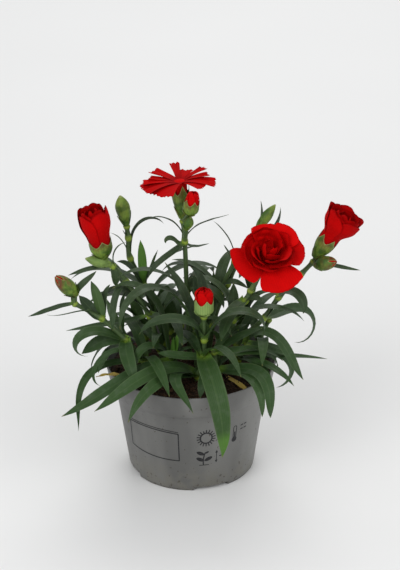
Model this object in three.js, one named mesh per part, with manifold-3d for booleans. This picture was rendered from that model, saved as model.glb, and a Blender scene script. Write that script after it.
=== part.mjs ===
// A pot carnation (dianthus) in its grey nursery pot, in millimetres.
// The origin is the centre of the pot's underside, +Z is up, -Y is the front and +X the right.
// Every leafy stem is one solid with its leaves and calyces; each bloom's petals are another.

import * as THREE from 'three';
import { mergeVertices } from 'three/addons/utils/BufferGeometryUtils.js';
import Module from 'manifold-3d';

const wasm = await Module();
wasm.setup();

// ---------------------------------------------------------------- driving dimensions

const GAP = 0.3;
const FINISH = 0.16; // how far joining may smooth a surface

const POT = {
  height: 72,
  rimRadius: 52.5,
  bandHeight: 14.6,
  bandRadius: 49.6,
  neckRadius: 46.9,
  baseRadius: 38.8,
  wall: 1.2,
  floor: 1.4,
  footHeight: 5.2,
  footWidth: 6.5,
  sides: 48,
  notches: 4,
  notchWidth: 22,
  notchHeight: 2.4,
  notchDepth: 4,
  firstNotch: -72,
};

const SOIL = {
  edgeHeight: 64.5,
  mound: 2.5,
  roughness: 0.7,
  sides: 24,
  rings: [32, 16],
  holeRings: 4,
};

const STEM = {
  radius: 1.6,
  jointRadius: 2.2,
  topRadius: 1.35,
  sides: 5,
};

const LEAF = {
  thickness: 0.8,
  fold: 0.22,
  flatWidth: 8.7,
  fewestRows: 3,
  mostRows: 5,
  steps: 24,
  clearance: 1.6,
};

const CALYX = {
  sides: 10,
  budSides: 8,
  pointed: 0.12,
  wall: 0.9,
  cupStart: 0.45,
  toothDepth: 0.22,
};

// A spreading petal's outline: the claw's share of the width, how fast it fans out from there
// and how far its corners are cut back.
const PETAL = {
  thickness: 0.8,
  roundness: 0.2,
  lobe: { claw: 0.55, rate: 1.15, roundness: 0.2 },
  wedge: { claw: 0.5, rate: 0.85, roundness: 0.04 },
};

// Leaves grown by rule in opposite pairs, each pair a quarter turn from the one below.
const SPARE = {
  slope: [58, 18, -42],
  slopeSpread: 12,
  headingSpread: 25,
  long: 50,
  longSpread: 9,
  wide: 6.8,
  wideSpread: 0.8,
  seed: 11,
};

// Spreading petals: heading in degrees, length and width in sizes, then the slope at the root,
// at the middle and at the tip; the rosette's are given by their middle slope alone.
const STAR = [
  [-4, 0.94, 0.68, 4, -12, -18],
  [20, 0.8, 0.3, 10, -1, -3],
  [42, 0.9, 0.3, 14, 4, 1],
  [72, 0.6, 0.4, 16, 6, 0],
  [98, 0.9, 0.3, 22, 12, 8],
  [144, 0.86, 0.42, 20, 9, 6],
  [166, 0.8, 0.34, 14, 4, 0],
  [184, 0.94, 0.44, 12, 1, -4],
  [203, 1, 0.8, 10, -4, -16],
  [238, 0.9, 0.8, 8, -8, -18],
  [324, 0.72, 0.42, 4, -8, -15],
];
const ROSETTE = [
  [212, 1.24, 1.7, 8],
  [292, 1.52, 1.75, 5],
  [0, 1.3, 1.25, 20],
  [45, 1.3, 1.2, 28],
  [92, 1.1, 1.3, 32],
  [145, 0.9, 1.3, 24],
];

// Turns, lifts and arches, in steps, that a leaf tries when its first place is taken. Each round
// of tries takes a larger step and a share off the leaf's length.
const BENDS = [
  [0, 0, 1], [0, 1, 0], [1, 0, 0], [-1, 0, 0], [0, 0, -1],
  [1, 0, 1], [-1, 0, 1], [1, 1, 0], [-1, 1, 0], [0, -1, 0], [1, -1, 0], [-1, -1, 0],
];
const BEND_STEP = 4;
const BEND_ROUNDS = 14;
const BEND_LOSS = 0.04;

// ---------------------------------------------------------------- the plant

// Stems, the front ones first, because a leaf gives way to the leaves placed before it.
// joints: the stem's course, foot first; leaves and stalks grow at these joints.
// leaves: joint, heading at root and tip, slope at root, middle and tip, roll at root and tip,
// length and width. Headings are degrees from +X towards +Y, slopes degrees above level.
// pairs: the joints that bear a pair of the leaves grown by rule as well.
// heads: the calyces, each with the joint its stalk leaves, its base and the way it points.
// long, radius, full (the share of its length at which it is full) and mouth (a share of the
// radius, 0 for a closed bud) shape the calyx; bloom is the kind of bloom in it and size its
// measure. A cup's petals rise by rise and are flare sizes wide at belly and edge.
const STEMS = [
  {
    name: 'stem_front_bud',
    joints: [[3, -17, 50], [4, -20, 69], [7, -23, 84], [8, -24, 96], [8, -26, 113]],
    pairs: [2],
    leaves: [
      [1, -152, -150, 57, -13, -20, -20, -30, 77, 9.4],
      [1, -136, -126, 30, 0, -55, -10, -30, 69, 7.8],
      [1, -66, -52, 62, -20, -74, 0, 0, 50, 7],
      [1, -158, -24, 36, 2, -66, 0, 0, 57, 7],
      [2, -165, -165, 11, 14, 21, -10, -20, 29, 7.6],
      [2, 158, 158, 86, 68, 52, 0, -20, 65, 8.6],
      [2, -82, -56, 22, -52, -102, 0, 0, 76, 12.6],
      [3, -145, -198, 80, 10, -62, -20, -35, 53, 7],
      [3, -33, 4, 61, 23, -118, 10, 20, 59, 7],
      [3, -95, -95, 88, 87, 84, 0, 0, 14, 6.8],
    ],
    heads: [
      {
        name: 'petals_front_bud', from: 4, base: [8, -26, 114.5], axis: [0, -0.1, 1],
        long: 12.5, radius: 6, full: 0.3, mouth: 0.98, bloom: 'bud', size: 5.2,
      },
    ],
  },
  {
    name: 'shoot_left_front',
    joints: [[-7, -13, 50], [-9, -14, 69], [-12, -16, 77]],
    pairs: [1],
    leaves: [
      [2, -147, -158, 15, -20, -14, -20, -30, 77, 8.6],
      [2, 133, 182, 64, 64, -42, 30, -30, 74, 8],
      [2, 175, 230, 78, 10, -100, 0, 0, 36, 9],
      [2, 10, 60, 60, 78, 80, 0, 0, 20, 4.4],
      [2, 40, 20, 70, 85, 88, 20, 20, 17, 3.6],
    ],
  },
  {
    name: 'shoot_right_front',
    joints: [[14, -18, 50], [15, -20, 73], [14, -19, 85]],
    pairs: [1],
    leaves: [
      [2, 3, 21, -12, -12, -112, 20, 10, 51, 8.2],
      [2, 8, 15, 34, 26, 6, 10, 20, 33, 6.4],
      [2, 40, 30, 52, 34, 0, 0, 0, 30, 6],
      [1, -13, -102, 11, -2, -128, 30, 10, 67, 8.2],
      [1, -30, -86, 6, -1, -113, 10, 10, 58, 6.4],
    ],
  },
  {
    name: 'shoot_right_low',
    joints: [[24, -8, 50], [29, -8, 74], [34, -10, 86]],
    pairs: [1],
    leaves: [
      [1, -48, -38, 25, 0, -40, 0, 10, 47, 6],
      [2, 2, -58, 95, -42, -24, 30, 20, 55, 7],
      [1, -6, -6, 15, 0, -8, 30, 20, 57, 3.6],
      [2, 3, 3, -10, -21, -2, 20, 20, 37, 3.4],
      [2, 9, 21, -19, -49, -182, 40, 60, 54, 7.2],
      [2, -19, -21, -23, -50, -34, 40, 40, 40, 4.4],
    ],
  },
  {
    name: 'stem_left_bud',
    joints: [[-20, -8, 50], [-28, -10, 74], [-39, -12, 90], [-53, -14, 106], [-69, -15, 117]],
    pairs: [1],
    leaves: [
      [1, -183, -69, 6, -16, -109, -20, -50, 78, 4.8],
      [1, -141, -152, 54, -4, -149, -50, -70, 60, 3],
      [2, -92, -50, 0, -36, -64, 0, 0, 34, 8.8],
      [2, -157, -180, 30, -8, -190, -20, -30, 50, 7.4],
      [2, 150, 40, 55, 86, 40, 40, 40, 32, 4],
      [3, 150, 150, 80, 74, 64, 110, 110, 25, 6.5],
      [3, 84, 41, 57, 71, 27, 0, 0, 22, 4.8],
      [3, -160, -166, 74, -3, 24, 0, 20, 37, 2],
      [3, 180, 180, 41, 50, 59, -40, -50, 21, 7.5],
      [2, -189, -193, 7, -46, -82, 0, 0, 34, 6.4],
      [2, 182, 186, 29, -21, -38, -40, -50, 30, 8.6],
      [4, 25, 6, 105, 43, 60, 30, 30, 27, 4.8],
      [4, -166, -166, 4, -13, -10, -30, -40, 29, 3.2],
    ],
    heads: [
      {
        name: 'petals_left_bud', from: 4, base: [-67.8, -15.5, 123.2],
        axis: [-0.66, -0.1, 0.74], long: 15.5, radius: 5, full: 0.5, mouth: 0.6,
        bloom: 'tip', size: 2.2,
      },
    ],
  },
  {
    name: 'stem_left_flower',
    joints: [
      [-14, 3, 50], [-19, 1, 77], [-25, -1, 101], [-38, -3, 125], [-46, -4, 136], [-51, -5, 141],
    ],
    pairs: [1, 2],
    leaves: [
      [4, -168, -167, 14, -8, -16, -30, -30, 28, 3],
      [3, -168, -169, 57, 81, 190, 0, 0, 34, 2.4],
      [2, 180, 180, -13, -10, -11, -20, -20, 52, 4.4],
      [2, -178, -172, 62, 34, -70, -10, -30, 42, 5.6],
      [2, -70, -50, 20, -50, -85, 0, 0, 30, 8.6],
      [3, -130, -100, 10, -62, -95, 0, 0, 36, 4.6],
      [4, -62, -62, -38, -65, -81, 0, 0, 14, 5.4],
    ],
    heads: [
      {
        name: 'petals_left_flower', from: 5, base: [-51.4, -5, 143],
        axis: [-0.19, -0.08, 1], long: 13.5, radius: 7.2, full: 0.55, mouth: 1,
        bloom: 'cup', size: 9.6, flare: [0.96, 0.9], rise: 19.5,
      },
      {
        from: 4, base: [-48, -5, 138], axis: [-0.93, -0.2, 0.36], long: 15.5, radius: 3.6,
        full: 0.45, mouth: 0,
      },
    ],
  },
  {
    name: 'stem_double_flower',
    joints: [[14, -4, 50], [18, -4, 78], [26, -6, 100], [33, -8, 114], [36, -8, 121]],
    pairs: [1, 2],
    leaves: [
      [3, -128, -135, 10, -40, -80, 0, 0, 32, 9],
      [3, -26, -16, 82, 4, -12, 30, 30, 13, 5],
      [2, -6, -5, 19, 62, -19, 30, 30, 32, 5],
      [2, 90, 90, 88, 88, 85, 0, 0, 25, 6.6],
    ],
    heads: [
      {
        name: 'petals_double_flower', from: 4, base: [44, -6, 134.5],
        axis: [0.1, -0.57, 0.81], long: 15, radius: 6, full: 0.7, mouth: 1,
        bloom: 'rosette', size: 15,
      },
    ],
  },
  {
    name: 'stem_right_flower',
    joints: [[22, 4, 50], [28, -1, 80], [44, -4, 100], [53, -2, 113], [66, 0, 127], [74, 2, 135]],
    pairs: [1],
    leaves: [
      [2, 58, 14, -22, -27, -200, 20, 50, 74, 7.2],
      [2, -11, -12, 39, 59, 42, 20, 20, 17, 3.6],
      [3, -20, -50, 67, -19, -115, 10, 10, 29, 8],
      [5, -4, -4, -8, -11, -8, 30, 30, 29, 3],
    ],
    heads: [
      {
        name: 'petals_right_flower', from: 5, base: [75.3, 2, 138.6], axis: [0.54, -0.05, 0.84],
        long: 17, radius: 6.4, full: 0.7, mouth: 0.98, bloom: 'cup', size: 12.1,
        flare: [0.88, 1], rise: 17,
      },
      {
        name: 'petals_right_bud', from: 5, base: [75, -1, 134.5],
        axis: [0.82, -0.46, 0.36], long: 13, radius: 4.7, full: 0.5, mouth: 0.6,
        bloom: 'tip', size: 1.8,
      },
    ],
  },
  {
    name: 'stem_green_bud',
    joints: [
      [-6, 18, 50], [-12, 18, 80], [-24, 17, 106], [-36, 13, 133], [-37, 12, 147], [-37.8, 12, 155],
    ],
    pairs: [1, 2],
    leaves: [
      [1, 180, 180, 91, 87, 83, 90, 90, 25, 8],
      [3, 0, 0, 87, 60, -59, 30, 30, 42, 2.8],
      [3, -155, -173, 74, 61, 17, 0, 0, 24, 2.2],
      [4, -160, -160, 60, 60, 60, 0, 0, 7, 3],
    ],
    heads: [
      {
        from: 5, base: [-38, 12, 156.5], axis: [-0.18, 0, 1], long: 19, radius: 4.7,
        full: 0.6, mouth: 0,
      },
    ],
  },
  {
    name: 'stem_top_flower',
    joints: [[0, 8, 50], [-1, 8, 80], [-2, 7, 112], [-3, 6, 147], [-4, 8, 160]],
    pairs: [1, 2],
    leaves: [
      [3, -159, -155, -52, 47, -129, -30, -30, 17, 4.4],
      [3, -16, -14, -45, 10, 22, 10, 10, 16, 2.4],
      [3, -129, -176, -16, -28, -75, -20, -40, 33, 4],
      [3, 169, 179, 86, 34, -27, 0, 0, 32, 1.8],
      [3, 0, 0, 84, 26, 19, 0, 0, 34, 1.8],
      [2, -30, -35, 48, -4, -78, 0, 10, 35, 7.6],
    ],
    heads: [
      {
        name: 'petals_top_flower', from: 4, base: [-4, 8, 162.5], axis: [-0.08, 0.04, 1],
        long: 22, radius: 5.7, full: 0.7, mouth: 1, bloom: 'star', size: 22,
      },
      {
        name: 'petals_top_bud', from: 4, base: [0, -2, 168.9], axis: [0.17, -0.2, 1],
        long: 11.8, radius: 5.1, full: 0.35, mouth: 0.85, bloom: 'tip', size: 4.6,
      },
      {
        from: 3, base: [-2.2, 0.5, 158.5], axis: [0.3, -0.25, 0.85], long: 9.5, radius: 3.3,
        full: 0.5, mouth: 0,
      },
    ],
  },
  {
    name: 'stem_back_bud',
    joints: [[10, 18, 50], [14, 19, 85], [23, 19, 112], [32, 18, 135], [40, 18, 149]],
    pairs: [1],
    leaves: [
      [4, 20, 10, 40, 85, 100, 0, 0, 20, 4.4],
      [3, 10, 10, 20, 45, 100, 0, 0, 39, 6.6],
    ],
    heads: [
      {
        from: 4, base: [41, 18, 150], axis: [0.56, 0, 0.83], long: 19, radius: 3.4,
        full: 0.5, mouth: 0,
      },
    ],
  },
  {
    name: 'shoot_left',
    joints: [[-10, 4, 50], [-15, 6, 78], [-20, 7, 93], [-28, 8, 118]],
    pairs: [1, 2],
    leaves: [
      [3, 129, 129, 82, 86, 81, 140, 140, 29, 5.4],
      [3, -163, -168, 43, 59, 0, -20, -30, 25, 6],
      [3, 34, 37, 61, 63, 63, 0, 0, 23, 2.6],
      [3, 5, 3, 76, 32, 10, 0, 0, 45, 5],
      [2, -164, -166, 56, 57, 47, -20, -20, 43, 7.2],
      [2, -128, -158, 38, 90, -35, -20, -20, 36, 4],
      [2, 180, -179, 63, 20, -103, -30, -40, 53, 6.2],
    ],
  },
  {
    name: 'shoot_centre',
    joints: [[3, -3, 50], [4, -2, 86], [7, -4, 108]],
    pairs: [1],
    leaves: [
      [2, 24, 4, 79, 86, 100, 90, 80, 27, 6],
      [2, 112, 186, 90, 58, -3, 0, -30, 40, 6],
      [1, -164, -128, 74, 31, -98, 0, -20, 93, 7],
      [1, 3, 100, 52, 73, 86, 20, 0, 45, 6.4],
    ],
  },
  {
    name: 'shoot_back',
    joints: [[7, 9, 50], [12, 11, 88], [18, 12, 110], [27, 12, 131]],
    pairs: [1, 2],
    leaves: [
      [2, -174, -175, 59, 39, 7, 0, 0, 42, 7.2],
      [3, 180, 180, 54, 61, 60, 0, 0, 13, 4],
      [3, 158, 178, 94, 61, 42, 0, 0, 31, 1.8],
      [2, -32, -9, 95, 11, -44, 20, 20, 25, 4.6],
    ],
  },
  {
    name: 'shoot_back_left',
    joints: [[-22, 14, 50], [-28, 18, 76], [-34, 22, 98]],
    pairs: [1, 2],
    leaves: [[1, 170, 170, 75, 73, 70, 80, 80, 33, 8]],
  },
  { name: 'shoot_back_middle', joints: [[-3, 28, 50], [-6, 34, 76], [-7, 38, 93]], pairs: [1, 2] },
  { name: 'shoot_back_right', joints: [[24, 18, 50], [31, 23, 78], [38, 29, 100]], pairs: [1, 2] },
  {
    name: 'shoot_far_left',
    joints: [[-30, 4, 50], [-38, 5, 78]],
    pairs: [1],
    leaves: [
      [1, 178, -176, 10, -33, -25, 0, 0, 47, 2.2],
      [1, 151, 151, 48, 62, 76, 70, 90, 32, 8],
    ],
  },
  { name: 'shoot_far_right', joints: [[36, 6, 50], [42, 8, 77], [48, 10, 92]], pairs: [1] },
];

// Dead leaves that lie on the soil and over the rim, each by its own root.
const WITHERED = [
  {
    name: 'withered_leaf_right',
    root: [22, -17, 66.6],
    heading: [-50, -48],
    slope: [8, -6, -8],
    roll: [0, 10],
    long: 20,
    wide: 3.6,
  },
  {
    name: 'withered_leaf_left',
    root: [-35, -20, 68.2],
    heading: [-160, -176],
    slope: [32, 12, -20],
    roll: [0, 0],
    long: 24,
    wide: 3.4,
  },
];

// ---------------------------------------------------------------- solids

const rad = THREE.MathUtils.degToRad;

/** A manifold solid of a closed geometry. */
function toManifold(source) {
  const geometry = source.clone();
  geometry.deleteAttribute('normal');
  geometry.deleteAttribute('uv');
  const merged = mergeVertices(geometry, 1e-4);
  return new wasm.Manifold(new wasm.Mesh({
    numProp: 3,
    vertProperties: new Float32Array(merged.attributes.position.array),
    triVerts: new Uint32Array(merged.index.array),
  }));
}

/** A solid from a list of points and a list of corner triples. */
function solid(points, triangles) {
  const geometry = new THREE.BufferGeometry();
  const numbers = points.flatMap((p) => p.toArray());
  geometry.setAttribute('position', new THREE.Float32BufferAttribute(numbers, 3));
  geometry.setIndex(triangles.flat());
  return toManifold(geometry);
}

/** The largest body of a solid: loose scraps are dropped and sealed hollows filled. */
function oneBody(manifold) {
  const bodies = manifold.asOriginal().simplify(FINISH).decompose();
  return bodies.reduce((a, b) => (b.volume() > a.volume() ? b : a));
}

function join(manifolds) {
  return oneBody(wasm.Manifold.union(manifolds));
}

function toMesh(name, manifold, look) {
  const { vertProperties, triVerts } = manifold.getMesh();
  const geometry = new THREE.BufferGeometry();
  const positions = new Float32Array(vertProperties);
  geometry.setAttribute('position', new THREE.BufferAttribute(positions, 3));
  geometry.setIndex(new THREE.BufferAttribute(new Uint32Array(triVerts), 1));
  geometry.computeVertexNormals();
  const mesh = new THREE.Mesh(geometry, look);
  mesh.name = name;
  return mesh;
}

/** A closed solid through rings of equal point counts, each run anticlockwise about the course. */
function loft(rings) {
  const sides = rings[0].length;
  const points = rings.flat();
  const triangles = [];
  for (let r = 0; r < rings.length - 1; r++) {
    for (let k = 0; k < sides; k++) {
      const a = r * sides + k;
      const b = r * sides + (k + 1) % sides;
      triangles.push([a, b, b + sides], [a, b + sides, a + sides]);
    }
  }
  const middle = (ring) => ring
    .reduce((sum, p) => sum.add(p), new THREE.Vector3())
    .divideScalar(sides);
  const first = points.push(middle(rings[0])) - 1;
  const last = points.push(middle(rings[rings.length - 1])) - 1;
  const top = (rings.length - 1) * sides;
  for (let k = 0; k < sides; k++) {
    const next = (k + 1) % sides;
    triangles.push([next, k, first], [top + k, top + next, last]);
  }
  return solid(points, triangles);
}

/** A thin closed sheet: a grid of points given thickness along its own normals. */
function sheet(grid, thickness) {
  const rows = grid.length;
  const columns = grid[0].length;
  const upper = [];
  const lower = [];
  for (let i = 0; i < rows; i++) {
    for (let j = 0; j < columns; j++) {
      const along = grid[Math.min(i + 1, rows - 1)][j].clone();
      along.sub(grid[Math.max(i - 1, 0)][j]);
      const across = grid[i][Math.min(j + 1, columns - 1)].clone();
      across.sub(grid[i][Math.max(j - 1, 0)]);
      const offset = along.cross(across).normalize().multiplyScalar(thickness / 2);
      upper.push(grid[i][j].clone().add(offset));
      lower.push(grid[i][j].clone().sub(offset));
    }
  }
  const triangles = [];
  const under = upper.length;
  for (let i = 0; i < rows - 1; i++) {
    for (let j = 0; j < columns - 1; j++) {
      const a = i * columns + j;
      const b = a + 1;
      const c = a + columns;
      const d = c + 1;
      triangles.push([a, c, d], [a, d, b]);
      triangles.push([under + a, under + d, under + c], [under + a, under + b, under + d]);
    }
  }
  const edge = [];
  for (let j = 0; j < columns - 1; j++) edge.push(j);
  for (let i = 0; i < rows - 1; i++) edge.push(i * columns + columns - 1);
  for (let j = columns - 1; j > 0; j--) edge.push((rows - 1) * columns + j);
  for (let i = rows - 1; i > 0; i--) edge.push(i * columns);
  edge.forEach((a, k) => {
    const b = edge[(k + 1) % edge.length];
    triangles.push([a, b, under + b], [a, under + b, under + a]);
  });
  return solid([...upper, ...lower], triangles);
}

/** Random numbers from 0 to 1 that are the same on every run. */
function seeded(seed) {
  let state = seed;
  return () => {
    state = (state * 16807) % 2147483647;
    return state / 2147483647;
  };
}

// ---------------------------------------------------------------- pot and soil

const NECK_HEIGHT = POT.height - POT.bandHeight;

/** Outer radius of the pot at a height: a tapered body, then the wider band under the rim. */
function potRadius(z) {
  const body = (POT.neckRadius - POT.baseRadius) / NECK_HEIGHT;
  const band = (POT.rimRadius - POT.bandRadius) / POT.bandHeight;
  if (z > NECK_HEIGHT) return POT.bandRadius + (z - NECK_HEIGHT) * band;
  return POT.baseRadius + Math.max(z, 0) * body;
}

/** The pot, thicker at its foot, where notches are cut into the edge of its underside. */
function buildPot() {
  const { wall, floor, height, footHeight, notchDepth } = POT;
  const outline = [
    [0, 0],
    [POT.baseRadius, 0],
    [POT.neckRadius, NECK_HEIGHT],
    [POT.bandRadius, NECK_HEIGHT],
    [POT.rimRadius, height],
    [POT.rimRadius - wall, height],
    [POT.bandRadius - wall, NECK_HEIGHT + wall],
    [POT.neckRadius - wall, NECK_HEIGHT],
    [potRadius(footHeight) - wall, footHeight],
    [POT.baseRadius - wall - POT.footWidth, floor],
    [0, floor],
  ].map(([r, z]) => new THREE.Vector2(r, z));
  const lathe = new THREE.LatheGeometry(outline, POT.sides);
  lathe.rotateX(Math.PI / 2);
  let pot = toManifold(lathe);
  for (let k = 0; k < POT.notches; k++) {
    const notch = new THREE.BoxGeometry(2 * notchDepth, POT.notchWidth, 2 * POT.notchHeight);
    notch.translate(POT.baseRadius, 0, 0);
    notch.rotateZ(rad(POT.firstNotch + k * 360 / POT.notches));
    pot = pot.subtract(toManifold(notch));
  }
  return oneBody(pot);
}

/** Height of the soil's surface: a low mound with crumbs and dents. */
function soilHeight(x, y) {
  const r = Math.hypot(x, y) / POT.bandRadius;
  const rough = Math.sin(0.55 * x + 1.3) * Math.cos(0.47 * y) + 0.6 * Math.sin(0.9 * y - 0.35 * x);
  return SOIL.edgeHeight + SOIL.mound * (1 - r * r) + SOIL.roughness * rough;
}

/** The block of soil, with a plain hole for the foot of every stem. */
function buildSoil() {
  const inner = (z) => potRadius(z) - POT.wall - GAP;
  const ring = (radius, height) => Array.from({ length: SOIL.sides }, (_, k) => {
    const a = 2 * Math.PI * k / SOIL.sides;
    const x = radius * Math.cos(a);
    const y = radius * Math.sin(a);
    return new THREE.Vector3(x, y, height ?? soilHeight(x, y));
  });
  const foot = POT.footHeight + GAP;
  const neck = NECK_HEIGHT - GAP;
  let soil = loft([
    ring(POT.baseRadius - POT.wall - POT.footWidth - GAP, POT.floor + GAP),
    ring(inner(foot), foot),
    ring(inner(neck), neck),
    ring(POT.bandRadius - POT.wall - 3 * GAP, NECK_HEIGHT + POT.wall + 2 * GAP),
    ring(inner(SOIL.edgeHeight - 2) - GAP),
    ...SOIL.rings.map((radius) => ring(radius)),
  ]);
  for (const stem of STEMS) {
    const hole = stemRings(stem, GAP).slice(0, SOIL.holeRings);
    soil = soil.subtract(loft(hole));
  }
  return oneBody(soil);
}

// ---------------------------------------------------------------- stems

function courseOf(stem) {
  const points = stem.joints.map((p) => new THREE.Vector3(...p));
  return new THREE.CatmullRomCurve3(points, false, 'catmullrom', 0.5);
}

/** Rings round the course of a stem; grow widens it, to cut the hole that it stands in. */
function stemRings(stem, grow = 0) {
  const curve = courseOf(stem);
  const spans = stem.joints.length - 1;
  const rings = [];
  for (let span = 0; span < spans; span++) {
    rings.push(stemRing(curve, span / spans, span > 0, grow));
    rings.push(stemRing(curve, (span + 0.86) / spans, false, grow));
  }
  rings.push(stemRing(curve, 1, true, grow));
  if (grow > 0) rings[0].forEach((p) => { p.z -= grow; });
  return rings;
}

function stemRing(curve, u, swollen, grow) {
  const point = curve.getPoint(u);
  const along = curve.getPoint(Math.min(u + 0.01, 1)).sub(curve.getPoint(Math.max(u - 0.01, 0)));
  along.normalize();
  const plain = STEM.radius + (STEM.topRadius - STEM.radius) * u;
  return ringAbout(point, along, (swollen ? STEM.jointRadius : plain) + grow, STEM.sides);
}

function ringAbout(point, along, radius, sides) {
  const side = new THREE.Vector3(0, 1, 0).cross(along).normalize();
  const other = along.clone().cross(side);
  return Array.from({ length: sides }, (_, k) => {
    const a = 2 * Math.PI * k / sides;
    return point.clone()
      .addScaledVector(side, radius * Math.cos(a))
      .addScaledVector(other, radius * Math.sin(a));
  });
}

// ---------------------------------------------------------------- leaves

/** The frames along a leaf's or petal's midline, from its root to its tip. */
function spine({ root, heading, slope, roll, long }) {
  const mix = ([from, to], s) => rad(from + (to - from) * s);
  const slopeAt = (s) => rad(slope[0] * (2 * s - 1) * (s - 1) + slope[1] * 4 * s * (1 - s)
    + slope[2] * s * (2 * s - 1));
  const alongAt = (s) => {
    const a = mix(heading, s);
    const e = slopeAt(s);
    return new THREE.Vector3(Math.cos(e) * Math.cos(a), Math.cos(e) * Math.sin(a), Math.sin(e));
  };
  const frames = [];
  const point = new THREE.Vector3(...root);
  for (let k = 0; k <= LEAF.steps; k++) {
    const s = k / LEAF.steps;
    const along = alongAt(s);
    const a = mix(heading, s);
    const tilt = mix(roll, s);
    const level = new THREE.Vector3(-Math.sin(a), Math.cos(a), 0);
    const up = along.clone().cross(level);
    const side = level.clone().multiplyScalar(Math.cos(tilt));
    side.addScaledVector(up, Math.sin(tilt));
    const normal = along.clone().cross(side);
    frames.push({ point: point.clone(), along, side, normal });
    point.addScaledVector(alongAt(s + 0.5 / LEAF.steps), long / LEAF.steps);
  }
  return frames;
}

/** A point of the blade at share s of its length, off the midline by across and lift. */
function onSpine(frames, s, across, lift) {
  const at = Math.min(Math.max(s, 0), 1) * LEAF.steps;
  const k = Math.min(Math.floor(at), LEAF.steps - 1);
  const place = ({ point, side, normal }) => point.clone()
    .addScaledVector(side, across)
    .addScaledVector(normal, lift);
  return place(frames[k]).lerp(place(frames[k + 1]), at - k);
}

/** Share of full width along a leaf: a sheathing root, a strap, then a long taper to the tip. */
function leafWidth(s) {
  const widening = 0.55 + 0.45 * Math.sin(Math.min(1, s / 0.3) * Math.PI / 2);
  const taper = 1 - 0.93 * Math.pow(Math.max(0, (s - 0.45) / 0.55), 2.4);
  return widening * taper;
}

/** A leaf's blade, folded along its midrib, with more rows the longer and more bent it is. */
function leafSolid(leaf) {
  const turns = [[...leaf.slope], [...leaf.heading]];
  const bend = turns.flatMap((angles) => angles.slice(1).map((a, k) => Math.abs(a - angles[k])))
    .reduce((sum, turn) => sum + turn);
  const wanted = Math.round(leaf.long / 32 + bend / 105);
  const rows = Math.min(Math.max(wanted, LEAF.fewestRows), LEAF.mostRows);
  const frames = spine(leaf);
  const across = leaf.wide > LEAF.flatWidth ? [-1, 0, 1] : [-1, 1];
  const grid = [];
  for (let i = 0; i <= rows; i++) {
    const half = leaf.wide / 2 * leafWidth(i / rows);
    grid.push(across.map((x) => onSpine(frames, i / rows, -x * half, LEAF.fold * half * x * x)));
  }
  return sheet(grid, LEAF.thickness);
}

function leafRecord(stem, [joint, h0, h1, s0, s1, s2, r0, r1, long, wide]) {
  return {
    stem: stem.name,
    root: stem.joints[joint],
    heading: [h0, h1],
    slope: [s0, s1, s2],
    roll: [r0, r1],
    long,
    wide,
  };
}

/** The leaves that grow by rule: opposite pairs that arch out, each pair a quarter turn on. */
function spareLeaves() {
  const random = seeded(SPARE.seed);
  const vary = (middle, spread) => middle + spread * (2 * random() - 1);
  const leaves = [];
  for (const stem of STEMS) {
    const [foot] = stem.joints;
    for (const joint of stem.pairs ?? []) {
      const [x, y] = stem.joints[joint];
      const lean = THREE.MathUtils.radToDeg(Math.atan2(y - foot[1], x - foot[0]));
      for (const turn of [0, 180]) {
        const heading = vary(lean + 90 * joint + turn, SPARE.headingSpread);
        const curve = SPARE.slope.map((e) => vary(e, SPARE.slopeSpread));
        const long = vary(SPARE.long, SPARE.longSpread);
        const wide = vary(SPARE.wide, SPARE.wideSpread);
        const tip = vary(heading, SPARE.headingSpread);
        leaves.push(leafRecord(stem, [joint, heading, tip, ...curve, 0, 0, long, wide]));
      }
    }
  }
  return leaves;
}

/** Whether a point lies clear of the pot and the soil. */
function clearOfPot({ x, y, z }) {
  const r = Math.hypot(x, y);
  const above = z > POT.height + LEAF.clearance;
  const outside = r > potRadius(Math.min(z, POT.height)) + LEAF.clearance;
  const inside = r < POT.bandRadius - POT.wall - LEAF.clearance
    && z > soilHeight(x, y) + LEAF.clearance;
  return above || outside || inside;
}

/** Whether a leaf keeps clear of the pot, of other stems and heads, and of the placed leaves. */
function isClear(leaf, frames, bars, placed) {
  const step = leaf.long / LEAF.steps;
  const others = placed.filter((other) => other.stem !== leaf.stem);
  for (let k = 2; k <= LEAF.steps; k++) {
    const half = leaf.wide / 2 * leafWidth(k / LEAF.steps);
    const { point, side, normal } = frames[k];
    for (const x of [-1, 0, 1]) {
      const p = point.clone()
        .addScaledVector(side, x * half)
        .addScaledVector(normal, LEAF.fold * half * x * x);
      if (!clearOfPot(p)) return false;
      if (bars.some((bar) => bar.stem !== leaf.stem && nearBar(p, bar))) return false;
      if (others.some((other) => nearLeaf(p, other, step))) return false;
    }
  }
  return true;
}

function nearBar(p, { line, radius }) {
  const nearest = line.closestPointToPoint(p, true, new THREE.Vector3());
  return nearest.distanceTo(p) < radius + LEAF.clearance;
}

function nearLeaf(p, { middle, reach, step, stations }, ownStep) {
  if (p.distanceTo(middle) > reach) return false;
  return stations.some(({ point, along, side, normal, half }) => {
    const d = p.clone().sub(point);
    const across = Math.abs(d.dot(side));
    const lift = LEAF.fold * Math.min(across, half);
    return Math.abs(d.dot(along)) < step / 2 + ownStep / 4
      && across < half + LEAF.clearance / 2
      && Math.abs(d.dot(normal) - lift) < LEAF.clearance;
  });
}

function stationsOf(leaf, frames) {
  return {
    stem: leaf.stem,
    step: leaf.long / LEAF.steps,
    middle: frames[LEAF.steps / 2].point,
    reach: leaf.long / 2 + leaf.wide,
    stations: frames.map((frame, k) => ({
      ...frame,
      half: leaf.wide / 2 * leafWidth(k / LEAF.steps),
    })),
  };
}

function bendLeaf(leaf, [turn, lift, arch], round) {
  const step = BEND_STEP * round;
  return {
    ...leaf,
    long: leaf.long * (1 - BEND_LOSS * round),
    heading: leaf.heading.map((a) => a + turn * step),
    slope: leaf.slope.map((e, k) => e + lift * step + arch * (1 - k) * step),
  };
}

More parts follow.
